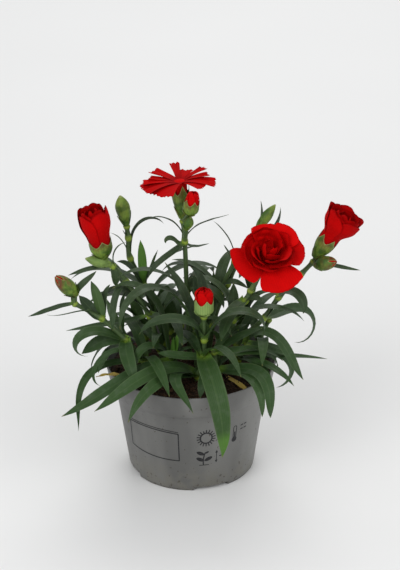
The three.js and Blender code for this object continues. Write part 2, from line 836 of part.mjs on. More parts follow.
/** The leaf as it grows, or the least bent one that crosses nothing; null if there is none. */
function settleLeaf(leaf, bars, placed) {
  for (let round = 0; round <= BEND_ROUNDS; round++) {
    for (const bend of round === 0 ? [[0, 0, 0]] : BENDS) {
      const bent = bendLeaf(leaf, bend, round);
      const frames = spine(bent);
      if (isClear(bent, frames, bars, placed)) {
        placed.push(stationsOf(bent, frames));
        return bent;
      }
    }
  }
  return null;
}

/** Places the chosen leaves and then the spare ones; a leaf with no clear place is left out. */
function placeLeaves() {
  const bars = barsOf(STEMS);
  const placed = WITHERED.map((leaf) => stationsOf(leaf, spine(leaf)));
  const chosen = STEMS.flatMap((stem) => (stem.leaves ?? []).map((row) => leafRecord(stem, row)));
  return [...chosen, ...spareLeaves()]
    .map((leaf) => settleLeaf(leaf, bars, placed))
    .filter((leaf) => leaf !== null);
}

/** Straight bars that stand for the stems, calyces and blooms while leaves are placed. */
function barsOf(stems) {
  const bars = [];
  for (const stem of stems) {
    const points = courseOf(stem).getPoints(4 * (stem.joints.length - 1));
    for (let k = 0; k < points.length - 1; k++) {
      const line = new THREE.Line3(points[k], points[k + 1]);
      bars.push({ stem: stem.name, line, radius: STEM.jointRadius });
    }
    for (const head of stem.heads ?? []) {
      const matrix = headMatrix(head);
      const at = (z) => new THREE.Vector3(0, 0, z).applyMatrix4(matrix);
      bars.push({ stem: stem.name, line: new THREE.Line3(at(0), at(head.long)), radius: head.radius });
      if (!head.bloom) continue;
      const { reach, depth } = BLOOMS[head.bloom];
      const line = new THREE.Line3(at(head.long), at(head.long + depth * head.size));
      bars.push({ stem: null, line, radius: reach * head.size });
    }
  }
  return bars;
}

// ---------------------------------------------------------------- calyces and petals

/** The turn and place of a head: local +Z is the way it points, local +X stays near +X. */
function headMatrix(head) {
  const z = new THREE.Vector3(...head.axis).normalize();
  const x = new THREE.Vector3(1, 0, 0).addScaledVector(z, -z.x).normalize();
  const y = z.clone().cross(x);
  return new THREE.Matrix4().makeBasis(x, y, z).setPosition(...head.base);
}

const smooth = (t) => THREE.MathUtils.smoothstep(t, 0, 1);

const moved = (matrix, rows) => rows.map((row) => row.map((p) => p.applyMatrix4(matrix)));

/** Radius of a calyx at share t of its length: it swells, then goes on to the mouth or the tip. */
function calyxRadius({ radius, mouth, full }, t) {
  const swell = 0.35 + 0.6 * Math.sin(Math.min(t / full, 1) * Math.PI / 2);
  const later = Math.pow(Math.max(0, (t - full) / (1 - full)), 1.8);
  return radius * (swell + (Math.max(mouth, CALYX.pointed) - 0.95) * later);
}

const circle = (radius, height, sides) => Array.from({ length: sides }, (_, k) => {
  const a = 2 * Math.PI * k / sides;
  return new THREE.Vector3(radius * Math.cos(a), radius * Math.sin(a), height);
});

/** A calyx with five teeth round an open cup, or a closed bud; its stalk reaches the joint. */
function calyxParts(stem, head) {
  const matrix = headMatrix(head);
  const sides = head.mouth > 0 ? CALYX.sides : CALYX.budSides;
  const ring = (t) => circle(calyxRadius(head, t), t * head.long, sides);
  const rings = [0, 0.2, 0.5, 0.78].map(ring);
  if (head.mouth > 0) {
    const teeth = ring(1);
    teeth.forEach((p, k) => { if (k % 2) p.z -= CALYX.toothDepth * head.long; });
    rings.push(teeth);
  } else {
    rings.push(ring(0.92), ring(1));
  }
  let calyx = loft(moved(matrix, rings));
  if (head.bloom) calyx = calyx.subtract(loft(moved(matrix, cupRings(head, CALYX.wall, 1.3))));
  const joint = new THREE.Vector3(...stem.joints[head.from]);
  const inside = new THREE.Vector3(0, 0, STEM.topRadius).applyMatrix4(matrix);
  const along = inside.clone().sub(joint).normalize();
  const stalk = loft([joint, inside].map((p) => ringAbout(p, along, STEM.topRadius, STEM.sides)));
  return [calyx, stalk];
}

/** Rings of the hollow in a calyx, a wall's thickness inside it, up to share top of its length. */
function cupRings(head, wall, top) {
  return [CALYX.cupStart, 0.72, 0.9, top].map((t) => (
    circle(Math.max(calyxRadius(head, Math.min(t, 1)) - wall, 0.5), t * head.long, CALYX.sides)
  ));
}

/** Radius at which petals come out of a cup. */
function cupNeck(head) {
  return calyxRadius(head, 1) - CALYX.wall - GAP - PETAL.thickness / 2;
}

/** The core that fills the cup and rises above it as a dome, out of which the petals grow. */
function bloomCore(head, belly, height) {
  const wall = CALYX.wall + GAP;
  const rings = cupRings(head, wall, 0.98);
  rings[0].forEach((p) => { p.z += GAP; });
  const neck = calyxRadius(head, 1) - wall;
  for (const t of [0.35, 0.7, 0.93]) {
    const radius = (neck + (belly - neck) * Math.min(1, t / 0.35)) * Math.sqrt(1 - t * t * 0.98);
    rings.push(circle(radius, head.long + t * height, CALYX.sides));
  }
  return rings;
}

/** A petal that stands round the axis; spiral tucks one edge in behind its neighbour. */
function wrappedPetal({ angle, spread, foot, belly, edge, bottom, top, spiral }) {
  const rows = 3;
  const columns = 3;
  const grid = [];
  for (let i = 0; i <= rows; i++) {
    const t = i / rows;
    const swell = (belly - foot) * smooth(t / 0.6);
    const flare = (edge - belly) * Math.pow(Math.max(0, (t - 0.6) / 0.4), 1.5);
    const row = [];
    for (let j = 0; j <= columns; j++) {
      const x = 2 * j / columns - 1;
      const a = rad(angle + x * spread / 2);
      const r = (foot + swell + flare) * (1 + spiral * x);
      const z = bottom + (top - bottom) * (t - PETAL.roundness * x * x * t);
      row.push(new THREE.Vector3(r * Math.cos(a), r * Math.sin(a), z));
    }
    grid.push(row);
  }
  return grid;
}

/** A petal that spreads from the axis: a narrow claw that fans out to a toothed edge. */
function spreadPetal({ heading, slope, long, wide, fan, reach, height, cup, teeth }) {
  const rows = teeth > 0 ? 2 : 3;
  const columns = teeth > 0 ? 4 : 3;
  const root = [reach * Math.cos(rad(heading)), reach * Math.sin(rad(heading)), height];
  const frames = spine({ root, heading: [heading, heading], slope, roll: [0, 0], long });
  const grid = [];
  for (let i = 0; i <= rows; i++) {
    const s = i / rows;
    const half = wide / 2 * (fan.claw + (1 - fan.claw) * smooth(s * fan.rate));
    const row = [];
    for (let j = 0; j <= columns; j++) {
      const x = 2 * j / columns - 1;
      const notch = i === rows && j % 2 ? teeth : 0;
      const end = s * (1 - fan.roundness * x * x * s) - notch;
      row.push(onSpine(frames, end, -x * half, cup * half * x * x));
    }
    grid.push(row);
  }
  return grid;
}

/** Petals by kind of bloom; reach and depth are the room that it takes, in sizes. */
const BLOOMS = {
  tip: {
    reach: 1,
    depth: 1,
    core: (head) => [0.9 * cupNeck(head), head.size],
    petals: () => [],
  },
  bud: {
    reach: 1,
    depth: 1,
    core: ({ size }) => [0.8 * size, 0.7 * size],
    petals: (head) => petalRing(head, 3, {
      from: 30, spread: 110, radii: [1, 0.97, 0.5], low: 0, high: 0.95, spiral: 0.05,
    }),
  },
  cup: {
    reach: 1,
    depth: 2,
    core: ({ size, rise }) => [0.5 * size, 0.7 * rise],
    petals: (head) => {
      const [belly, edge] = head.flare;
      const high = head.rise / head.size;
      return [
        ...petalRing(head, 5, {
          from: 10, spread: 92, radii: [0.95, belly, edge], low: 0, high, spiral: 0.07,
        }),
        ...petalRing(head, 2, {
          from: 50, spread: 170, radii: [0.7, 0.62, 0.5], low: 0.1, high: high + 0.05, spiral: 0.1,
        }),
      ];
    },
  },
  rosette: {
    reach: 1.1,
    depth: 0.9,
    core: ({ size }) => [0.3 * size, 0.5 * size],
    petals: (head) => [
      ...ROSETTE.map(([heading, long, wide, rise]) => spreadPetal({
        heading,
        slope: [rise + 25, rise, rise - 30],
        long: long * head.size,
        wide: wide * head.size,
        fan: PETAL.lobe,
        reach: 0.8 * cupNeck(head),
        height: head.long,
        cup: 0.1,
        teeth: 0,
      })),
      ...petalRing(head, 5, {
        from: 30, spread: 88, radii: [0.8, 0.82, 0.98], low: 0.05, high: 0.8, spiral: 0.07,
      }),
      ...petalRing(head, 2, {
        from: 0, spread: 170, radii: [0.6, 0.42, 0.5], low: 0.1, high: 0.9, spiral: 0.12,
      }),
    ],
  },
  star: {
    reach: 0.4,
    depth: 0.3,
    core: ({ size }) => [0.2 * size, 0.14 * size],
    petals: (head) => STAR.map(([heading, long, wide, ...slope]) => spreadPetal({
      heading,
      slope,
      long: long * head.size,
      wide: wide * head.size,
      fan: PETAL.wedge,
      reach: 0.4 * cupNeck(head),
      height: head.long + 0.05 * head.size,
      cup: 0.12,
      teeth: 0.06,
    })),
  },
};

/** A ring of wrapped petals: the foot is in shares of the neck, all else in sizes. */
function petalRing(head, count, { from, spread, radii, low, high, spiral }) {
  const [foot, belly, edge] = radii;
  return Array.from({ length: count }, (_, k) => wrappedPetal({
    angle: from + 360 * k / count,
    spread,
    foot: foot * cupNeck(head),
    belly: belly * head.size,
    edge: edge * head.size,
    bottom: head.long + low * head.size,
    top: head.long + high * head.size,
    spiral,
  }));
}

function bloomSolid(head) {
  const matrix = headMatrix(head);
  const { core, petals } = BLOOMS[head.bloom];
  const middle = loft(moved(matrix, bloomCore(head, ...core(head))));
  const sheets = petals(head).map((grid) => sheet(moved(matrix, grid), PETAL.thickness));
  return join([middle, ...sheets]);
}

// ---------------------------------------------------------------- the model

const material = (color, roughness) => (
  new THREE.MeshStandardMaterial({ color, roughness, metalness: 0 })
);
const potPlastic = material(0x6c6c6b, 0.6);
const peat = material(0x241a14, 0.95);
const foliage = material(0x47613f, 0.55);
const redPetal = material(0xb30a0a, 0.6);
const withered = material(0xb59a35, 0.8);

const model = new THREE.Group();
model.add(toMesh('pot', buildPot(), potPlastic));
model.add(toMesh('soil', buildSoil(), peat));
const leaves = placeLeaves();
for (const stem of STEMS) {
  const own = leaves.filter((leaf) => leaf.stem === stem.name);
  const heads = stem.heads ?? [];
  const parts = [
    loft(stemRings(stem)),
    ...own.map(leafSolid),
    ...heads.flatMap((head) => calyxParts(stem, head)),
  ];
  model.add(toMesh(stem.name, join(parts), foliage));
  for (const head of heads.filter(({ bloom }) => bloom)) {
    model.add(toMesh(head.name, bloomSolid(head), redPetal));
  }
}

for (const leaf of WITHERED) {
  model.add(toMesh(leaf.name, leafSolid(leaf), withered));
}

export default model;
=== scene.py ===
"""A pot carnation in its grey nursery pot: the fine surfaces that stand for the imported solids.

Lengths are millimetres and angles degrees until a mesh is made; the stage is in metres. The
plant grows by the same tables and rules as its solids do, with finer blades, petals, calyces,
pot and soil.
"""

import math
from types import SimpleNamespace

import bpy
import numpy as np
from mathutils import Matrix, Vector


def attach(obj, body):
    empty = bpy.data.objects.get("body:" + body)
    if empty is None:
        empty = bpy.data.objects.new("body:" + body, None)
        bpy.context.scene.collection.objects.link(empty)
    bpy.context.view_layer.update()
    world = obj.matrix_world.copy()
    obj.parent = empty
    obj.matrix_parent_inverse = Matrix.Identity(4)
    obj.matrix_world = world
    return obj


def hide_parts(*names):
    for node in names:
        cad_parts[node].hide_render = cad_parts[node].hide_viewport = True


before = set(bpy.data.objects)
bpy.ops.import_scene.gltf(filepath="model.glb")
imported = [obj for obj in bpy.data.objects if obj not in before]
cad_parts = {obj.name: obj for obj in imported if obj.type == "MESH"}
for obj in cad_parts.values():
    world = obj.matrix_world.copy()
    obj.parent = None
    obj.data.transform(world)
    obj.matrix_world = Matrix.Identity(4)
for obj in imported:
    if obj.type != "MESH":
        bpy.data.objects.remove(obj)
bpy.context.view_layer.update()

# ---------------------------------------------------------------- driving dimensions

MM = 0.001
GAP = 0.3

# rings and band_ring are heights of rings on the pot's side. shoulder is where its neck turns out
# to the band, radius and height off the corner, and lip is how far the rim's outer and inner
# edges are cut back and how far down.
POT = SimpleNamespace(
    height=72, rim_radius=52.5, band_height=14.6, band_radius=49.6, neck_radius=46.9,
    base_radius=38.8, wall=1.2, floor=1.4, foot_height=5.2, foot_width=6.5, sides=288, notches=4,
    notch_width=22, notch_height=2.4, notch_depth=4, first_notch=-72, edge=0.5,
    rings=(12, 24, 36, 48), band_ring=7, shoulder=[(-0.06, -0.6), (0.35, -0.15)],
    lip=(0.15, 0.1, 0.12),
)
NECK_HEIGHT = POT.height - POT.band_height
# swell and ripple are the rates of the waves in the soil's surface, in radians for each mm.
SOIL = SimpleNamespace(
    edge_height=64.5, mound=2.5, roughness=0.7, sides=140, rings=60, foot_middle=0.5,
    top_middle=0.4, bump=0.35, bumpy_from=12, swell=(0.55, 0.47), swell_start=1.3,
    ripple=(0.9, 0.35), ripple_share=0.6,
)
CRUMB = SimpleNamespace(
    count=2600, sizes=(0.35, 1.3), spread=46.5, stretches=[(0.7, 2.2), (0.6, 1.2), (0.5, 1)],
    lumpy=0.25, out=0.3,
)
# A stem's dome is given by heights, shares of its radius, each with how pale it is there.
STEM = SimpleNamespace(
    radius=1.6, joint_radius=2.2, top_radius=1.35, sides=14, step=1.1, swelling=(1.5, 3.2),
    fine=40, dome=[(0.35, 0.8), (0.7, 0.6), (0.95, 0.4)], stalk_rings=5,
)
# fold is how far a leaf is folded along its midline, and clasp how much more round its stem.
# From a share of its width at the root it widens, and then it tapers and ends blunt; clasp_reach,
# widens, tapers and light_within are shares of its length, keel_wide and groove_wide of its half
# width. Leaves of less than twice slim_under are thinner, under ribbed_over their rib is less.
LEAF = SimpleNamespace(
    fold=0.22, steps=24, clearance=1.6, thickness=0.62, keel=0.4, keel_wide=0.13, groove=0.16,
    groove_wide=0.09, ribbed_over=2.5, rib_fade=0.7, slim_under=1.2, clasp=1.1, clasp_reach=0.05,
    wave=0.2, sway=0.03, root=0.55, widens=0.3, tapers=0.45, tip_loss=0.93, taper=2.4, blunt=0.75,
    blunt_power=24, light_within=0.08,
)
# foot, belly and pointed are radii at the foot, the belly and a closed bud's tip, in shares of
# the radius; cup_start, tooth_depth, folded, folds_at and petal_depth are shares of the length.
# With a mouth below shut_under the teeth fold over it; the teeth's last numbers make them slim.
CALYX = SimpleNamespace(
    foot=0.35, belly=0.95, narrowing=1.8, pointed=0.12, cup_start=0.45, teeth=5, tooth_depth=0.27,
    open_teeth=1.1, shut_teeth=5.0, shut_under=0.7, folded=1.15, folds_at=0.88, seam_depth=0.06,
    seam_narrow=0.6, sides=80, rows=30, inner_rows=10, wall=0.35, rim=0.2, rim_rows=3, least=0.2,
    petal_depth=0.35,
)
# A wrapped petal swells over the first part of its free height, swollen, and from there on it
# flares; it is drawn in towards its top, astray by a few degrees, and never nearer the axis than
# least. A spreading one has its own rows and columns.
PETAL = SimpleNamespace(
    thickness=0.5, rim=0.02, thinning=0.7, roundness=0.2, room=0.9, swollen=0.6, drawn_in=0.12,
    least=0.25, astray=8, rows=20, columns=21, fan_rows=22, fan_columns=31,
)
# A spreading petal's outline: the claw's share of the width, how fast it fans out from there,
# how far its corners are cut back, how deep its fringe is and how hollow its blade.
LOBE = SimpleNamespace(claw=0.55, rate=1.15, roundness=0.2, fringe=0.012, hollow=0.1)
WEDGE = SimpleNamespace(claw=0.5, rate=0.85, roundness=0.04, fringe=0.05, hollow=0.16)

# Leaves grown by rule in opposite pairs, each pair a quarter turn from the one below.
SPARE = SimpleNamespace(
    slope=(58, 18, -42), slope_spread=12, heading_spread=25, long=50, long_spread=9, wide=6.8,
    wide_spread=0.8, seed=11,
)

# Spreading petals: heading in degrees, length and width in sizes, then the slope at the root,
# at the middle and at the tip; the rosette's are given by their middle slope alone.
STAR = [
    (-4, 0.94, 0.68, 4, -12, -18),
    (20, 0.8, 0.3, 10, -1, -3),
    (42, 0.9, 0.3, 14, 4, 1),
    (72, 0.6, 0.4, 16, 6, 0),
    (98, 0.9, 0.3, 22, 12, 8),
    (144, 0.86, 0.42, 20, 9, 6),
    (166, 0.8, 0.34, 14, 4, 0),
    (184, 0.94, 0.44, 12, 1, -4),
    (203, 1, 0.8, 10, -4, -16),
    (238, 0.9, 0.8, 8, -8, -18),
    (324, 0.72, 0.42, 4, -8, -15),
]
ROSETTE = [
    (212, 1.24, 1.7, 8),
    (292, 1.52, 1.75, 5),
    (0, 1.3, 1.25, 20),
    (45, 1.3, 1.2, 28),
    (92, 1.1, 1.3, 32),
    (145, 0.9, 1.3, 24),
]

# Turns, lifts and arches, in steps, that a leaf tries when its first place is taken. Each round
# of tries takes a larger step and a share off the leaf's length.
BENDS = [
    (0, 0, 1), (0, 1, 0), (1, 0, 0), (-1, 0, 0), (0, 0, -1),
    (1, 0, 1), (-1, 0, 1), (1, 1, 0), (-1, 1, 0), (0, -1, 0), (1, -1, 0), (-1, -1, 0),
]
BEND_STEP = 4
BEND_ROUNDS = 14
BEND_LOSS = 0.04

# The photograph's frame in pixels, and the camera that it was taken with.
FRAME_HIGH = 570
CAMERA = SimpleNamespace(
    distance=1205.6, elevation=26.29, target=121.3, focal=2000, shift=9.8, roll=0.0095,
)
STAGE = SimpleNamespace(
    floor=8, sky=(0.97, 0.98, 1.0, 1.0), sky_strength=0.53, sensor=36, clip=(0.05, 20),
)
# Soft square lights: name, place, side and power in watts.
LIGHTS = [
    ("softbox left", (-0.75, -0.9, 0.9), 0.9, 8.5),
    ("softbox right", (0.9, -0.7, 0.8), 0.8, 4.5),
    ("softbox back", (0.1, 1.1, 1.3), 1.0, 11),
]

# Seeds of the random draws, and the numbers of the generator that places the spare leaves.
SEEDS = SimpleNamespace(stems=100, withered=200, soil=7)
LEHMER = SimpleNamespace(factor=16807, modulus=2147483647)

# ---------------------------------------------------------------- the plant

# Stems, the front ones first, because a leaf gives way to the leaves placed before it.
# joints: the stem's course, foot first; leaves and stalks grow at these joints.
# leaves: joint, heading at root and tip, slope at root, middle and tip, roll at root and tip,
# length and width. Headings are degrees from +X towards +Y, slopes degrees above level.
# pairs: the joints that bear a pair of the leaves grown by rule as well.
# heads: the calyces, each with the joint its stalk leaves, its base and the way it points.
# long, radius, full (the share of its length at which it is fullest) and mouth (a share of the
# radius, 0 for a closed bud) shape the calyx; bloom is the kind of bloom in it and size its
# measure. A cup's petals rise by rise and are flare sizes wide at belly and edge.
STEMS = [
    {
        "name": "stem_front_bud",
        "joints": [(3, -17, 50), (4, -20, 69), (7, -23, 84), (8, -24, 96), (8, -26, 113)],
        "pairs": [2],
        "leaves": [
            (1, -152, -150, 57, -13, -20, -20, -30, 77, 9.4),
            (1, -136, -126, 30, 0, -55, -10, -30, 69, 7.8),
            (1, -66, -52, 62, -20, -74, 0, 0, 50, 7),
            (1, -158, -24, 36, 2, -66, 0, 0, 57, 7),
            (2, -165, -165, 11, 14, 21, -10, -20, 29, 7.6),
            (2, 158, 158, 86, 68, 52, 0, -20, 65, 8.6),
            (2, -82, -56, 22, -52, -102, 0, 0, 76, 12.6),
            (3, -145, -198, 80, 10, -62, -20, -35, 53, 7),
            (3, -33, 4, 61, 23, -118, 10, 20, 59, 7),
            (3, -95, -95, 88, 87, 84, 0, 0, 14, 6.8),
        ],
        "heads": [
            {
                "name": "petals_front_bud", "from": 4, "base": (8, -26, 114.5),
                "axis": (0, -0.1, 1), "long": 12.5, "radius": 6, "full": 0.3, "mouth": 0.98,
                "bloom": "bud", "size": 5.2,
            },
        ],
    },
    {
        "name": "shoot_left_front",
        "joints": [(-7, -13, 50), (-9, -14, 69), (-12, -16, 77)],
        "pairs": [1],
        "leaves": [
            (2, -147, -158, 15, -20, -14, -20, -30, 77, 8.6),
            (2, 133, 182, 64, 64, -42, 30, -30, 74, 8),
            (2, 175, 230, 78, 10, -100, 0, 0, 36, 9),
            (2, 10, 60, 60, 78, 80, 0, 0, 20, 4.4),
            (2, 40, 20, 70, 85, 88, 20, 20, 17, 3.6),
        ],
    },
    {
        "name": "shoot_right_front",
        "joints": [(14, -18, 50), (15, -20, 73), (14, -19, 85)],
        "pairs": [1],
        "leaves": [
            (2, 3, 21, -12, -12, -112, 20, 10, 51, 8.2),
            (2, 8, 15, 34, 26, 6, 10, 20, 33, 6.4),
            (2, 40, 30, 52, 34, 0, 0, 0, 30, 6),
            (1, -13, -102, 11, -2, -128, 30, 10, 67, 8.2),
            (1, -30, -86, 6, -1, -113, 10, 10, 58, 6.4),
        ],
    },
    {
        "name": "shoot_right_low",
        "joints": [(24, -8, 50), (29, -8, 74), (34, -10, 86)],
        "pairs": [1],
        "leaves": [
            (1, -48, -38, 25, 0, -40, 0, 10, 47, 6),
            (2, 2, -58, 95, -42, -24, 30, 20, 55, 7),
            (1, -6, -6, 15, 0, -8, 30, 20, 57, 3.6),
            (2, 3, 3, -10, -21, -2, 20, 20, 37, 3.4),
            (2, 9, 21, -19, -49, -182, 40, 60, 54, 7.2),
            (2, -19, -21, -23, -50, -34, 40, 40, 40, 4.4),
        ],
    },
    {
        "name": "stem_left_bud",
        "joints": [(-20, -8, 50), (-28, -10, 74), (-39, -12, 90), (-53, -14, 106), (-69, -15, 117)],
        "pairs": [1],
        "leaves": [
            (1, -183, -69, 6, -16, -109, -20, -50, 78, 4.8),
            (1, -141, -152, 54, -4, -149, -50, -70, 60, 3),
            (2, -92, -50, 0, -36, -64, 0, 0, 34, 8.8),
            (2, -157, -180, 30, -8, -190, -20, -30, 50, 7.4),
            (2, 150, 40, 55, 86, 40, 40, 40, 32, 4),
            (3, 150, 150, 80, 74, 64, 110, 110, 25, 6.5),
            (3, 84, 41, 57, 71, 27, 0, 0, 22, 4.8),
            (3, -160, -166, 74, -3, 24, 0, 20, 37, 2),
            (3, 180, 180, 41, 50, 59, -40, -50, 21, 7.5),
            (2, -189, -193, 7, -46, -82, 0, 0, 34, 6.4),
            (2, 182, 186, 29, -21, -38, -40, -50, 30, 8.6),
            (4, 25, 6, 105, 43, 60, 30, 30, 27, 4.8),
            (4, -166, -166, 4, -13, -10, -30, -40, 29, 3.2),
        ],
        "heads": [
            {
                "name": "petals_left_bud", "from": 4, "base": (-67.8, -15.5, 123.2),
                "axis": (-0.66, -0.1, 0.74), "long": 15.5, "radius": 5, "full": 0.5, "mouth": 0.6,
                "bloom": "tip", "size": 2.2,
            },
        ],
    },
    {
        "name": "stem_left_flower",
        "joints": [
            (-14, 3, 50), (-19, 1, 77), (-25, -1, 101), (-38, -3, 125), (-46, -4, 136),
            (-51, -5, 141),
        ],
        "pairs": [1, 2],
        "leaves": [
            (4, -168, -167, 14, -8, -16, -30, -30, 28, 3),
            (3, -168, -169, 57, 81, 190, 0, 0, 34, 2.4),
            (2, 180, 180, -13, -10, -11, -20, -20, 52, 4.4),
            (2, -178, -172, 62, 34, -70, -10, -30, 42, 5.6),
            (2, -70, -50, 20, -50, -85, 0, 0, 30, 8.6),
            (3, -130, -100, 10, -62, -95, 0, 0, 36, 4.6),
            (4, -62, -62, -38, -65, -81, 0, 0, 14, 5.4),
        ],
        "heads": [
            {
                "name": "petals_left_flower", "from": 5, "base": (-51.4, -5, 143),
                "axis": (-0.19, -0.08, 1), "long": 13.5, "radius": 7.2, "full": 0.55, "mouth": 1,
                "bloom": "cup", "size": 9.6, "flare": (0.96, 0.9), "rise": 19.5,
            },
            {
                "from": 4, "base": (-48, -5, 138), "axis": (-0.93, -0.2, 0.36), "long": 15.5,
                "radius": 3.6, "full": 0.45, "mouth": 0,
            },
        ],
    },
    {
        "name": "stem_double_flower",
        "joints": [(14, -4, 50), (18, -4, 78), (26, -6, 100), (33, -8, 114), (36, -8, 121)],
        "pairs": [1, 2],
        "leaves": [
            (3, -128, -135, 10, -40, -80, 0, 0, 32, 9),
            (3, -26, -16, 82, 4, -12, 30, 30, 13, 5),
            (2, -6, -5, 19, 62, -19, 30, 30, 32, 5),
            (2, 90, 90, 88, 88, 85, 0, 0, 25, 6.6),
        ],
        "heads": [
            {
                "name": "petals_double_flower", "from": 4, "base": (44, -6, 134.5),
                "axis": (0.1, -0.57, 0.81), "long": 15, "radius": 6, "full": 0.7, "mouth": 1,
                "bloom": "rosette", "size": 15,
            },
        ],
    },
    {
        "name": "stem_right_flower",
        "joints": [
            (22, 4, 50), (28, -1, 80), (44, -4, 100), (53, -2, 113), (66, 0, 127), (74, 2, 135),
        ],
        "pairs": [1],
        "leaves": [
            (2, 58, 14, -22, -27, -200, 20, 50, 74, 7.2),
            (2, -11, -12, 39, 59, 42, 20, 20, 17, 3.6),
            (3, -20, -50, 67, -19, -115, 10, 10, 29, 8),
            (5, -4, -4, -8, -11, -8, 30, 30, 29, 3),
        ],
        "heads": [
            {
                "name": "petals_right_flower", "from": 5, "base": (75.3, 2, 138.6),
                "axis": (0.54, -0.05, 0.84), "long": 17, "radius": 6.4, "full": 0.7,
                "mouth": 0.98, "bloom": "cup", "size": 12.1, "flare": (0.88, 1), "rise": 17,
            },
            {
                "name": "petals_right_bud", "from": 5, "base": (75, -1, 134.5),
                "axis": (0.82, -0.46, 0.36), "long": 13, "radius": 4.7, "full": 0.5, "mouth": 0.6,
                "bloom": "tip", "size": 1.8,
            },
        ],
    },
    {
        "name": "stem_green_bud",
        "joints": [
            (-6, 18, 50), (-12, 18, 80), (-24, 17, 106), (-36, 13, 133), (-37, 12, 147),
            (-37.8, 12, 155),
        ],
        "pairs": [1, 2],
        "leaves": [
            (1, 180, 180, 91, 87, 83, 90, 90, 25, 8),
            (3, 0, 0, 87, 60, -59, 30, 30, 42, 2.8),
            (3, -155, -173, 74, 61, 17, 0, 0, 24, 2.2),
            (4, -160, -160, 60, 60, 60, 0, 0, 7, 3),
        ],
        "heads": [
            {
                "from": 5, "base": (-38, 12, 156.5), "axis": (-0.18, 0, 1), "long": 19,
                "radius": 4.7, "full": 0.6, "mouth": 0,
            },
        ],
    },
    {
        "name": "stem_top_flower",
        "joints": [(0, 8, 50), (-1, 8, 80), (-2, 7, 112), (-3, 6, 147), (-4, 8, 160)],
        "pairs": [1, 2],
        "leaves": [
            (3, -159, -155, -52, 47, -129, -30, -30, 17, 4.4),
            (3, -16, -14, -45, 10, 22, 10, 10, 16, 2.4),
            (3, -129, -176, -16, -28, -75, -20, -40, 33, 4),
            (3, 169, 179, 86, 34, -27, 0, 0, 32, 1.8),
            (3, 0, 0, 84, 26, 19, 0, 0, 34, 1.8),
            (2, -30, -35, 48, -4, -78, 0, 10, 35, 7.6),
        ],
        "heads": [
            {
                "name": "petals_top_flower", "from": 4, "base": (-4, 8, 162.5),
                "axis": (-0.08, 0.04, 1), "long": 22, "radius": 5.7, "full": 0.7, "mouth": 1,
                "bloom": "star", "size": 22,
            },
            {
                "name": "petals_top_bud", "from": 4, "base": (0, -2, 168.9),
                "axis": (0.17, -0.2, 1), "long": 11.8, "radius": 5.1, "full": 0.35, "mouth": 0.85,
                "bloom": "tip", "size": 4.6,
            },
            {
                "from": 3, "base": (-2.2, 0.5, 158.5), "axis": (0.3, -0.25, 0.85), "long": 9.5,
                "radius": 3.3, "full": 0.5, "mouth": 0,
            },
        ],
    },
    {
        "name": "stem_back_bud",
        "joints": [(10, 18, 50), (14, 19, 85), (23, 19, 112), (32, 18, 135), (40, 18, 149)],
        "pairs": [1],
        "leaves": [
            (4, 20, 10, 40, 85, 100, 0, 0, 20, 4.4),
            (3, 10, 10, 20, 45, 100, 0, 0, 39, 6.6),
        ],
        "heads": [
            {
                "from": 4, "base": (41, 18, 150), "axis": (0.56, 0, 0.83), "long": 19,
                "radius": 3.4, "full": 0.5, "mouth": 0,
            },
        ],
    },
    {
        "name": "shoot_left",
        "joints": [(-10, 4, 50), (-15, 6, 78), (-20, 7, 93), (-28, 8, 118)],
        "pairs": [1, 2],
        "leaves": [
            (3, 129, 129, 82, 86, 81, 140, 140, 29, 5.4),
            (3, -163, -168, 43, 59, 0, -20, -30, 25, 6),
            (3, 34, 37, 61, 63, 63, 0, 0, 23, 2.6),
            (3, 5, 3, 76, 32, 10, 0, 0, 45, 5),
            (2, -164, -166, 56, 57, 47, -20, -20, 43, 7.2),
            (2, -128, -158, 38, 90, -35, -20, -20, 36, 4),
            (2, 180, -179, 63, 20, -103, -30, -40, 53, 6.2),
        ],
    },
    {
        "name": "shoot_centre",
        "joints": [(3, -3, 50), (4, -2, 86), (7, -4, 108)],
        "pairs": [1],
        "leaves": [
            (2, 24, 4, 79, 86, 100, 90, 80, 27, 6),
            (2, 112, 186, 90, 58, -3, 0, -30, 40, 6),
            (1, -164, -128, 74, 31, -98, 0, -20, 93, 7),
            (1, 3, 100, 52, 73, 86, 20, 0, 45, 6.4),
        ],
    },
    {
        "name": "shoot_back",
        "joints": [(7, 9, 50), (12, 11, 88), (18, 12, 110), (27, 12, 131)],
        "pairs": [1, 2],
        "leaves": [
            (2, -174, -175, 59, 39, 7, 0, 0, 42, 7.2),
            (3, 180, 180, 54, 61, 60, 0, 0, 13, 4),
            (3, 158, 178, 94, 61, 42, 0, 0, 31, 1.8),
            (2, -32, -9, 95, 11, -44, 20, 20, 25, 4.6),
        ],
    },
    {
        "name": "shoot_back_left",
        "joints": [(-22, 14, 50), (-28, 18, 76), (-34, 22, 98)],
        "pairs": [1, 2],
        "leaves": [
            (1, 170, 170, 75, 73, 70, 80, 80, 33, 8),
        ],
    },
    {
        "name": "shoot_back_middle",
        "joints": [(-3, 28, 50), (-6, 34, 76), (-7, 38, 93)],
        "pairs": [1, 2],
    },
    {
        "name": "shoot_back_right",
        "joints": [(24, 18, 50), (31, 23, 78), (38, 29, 100)],
        "pairs": [1, 2],
    },
    {
        "name": "shoot_far_left",
        "joints": [(-30, 4, 50), (-38, 5, 78)],
        "pairs": [1],
        "leaves": [
            (1, 178, -176, 10, -33, -25, 0, 0, 47, 2.2),
            (1, 151, 151, 48, 62, 76, 70, 90, 32, 8),
        ],
    },
    {
        "name": "shoot_far_right",
        "joints": [(36, 6, 50), (42, 8, 77), (48, 10, 92)],
        "pairs": [1],
    },
]

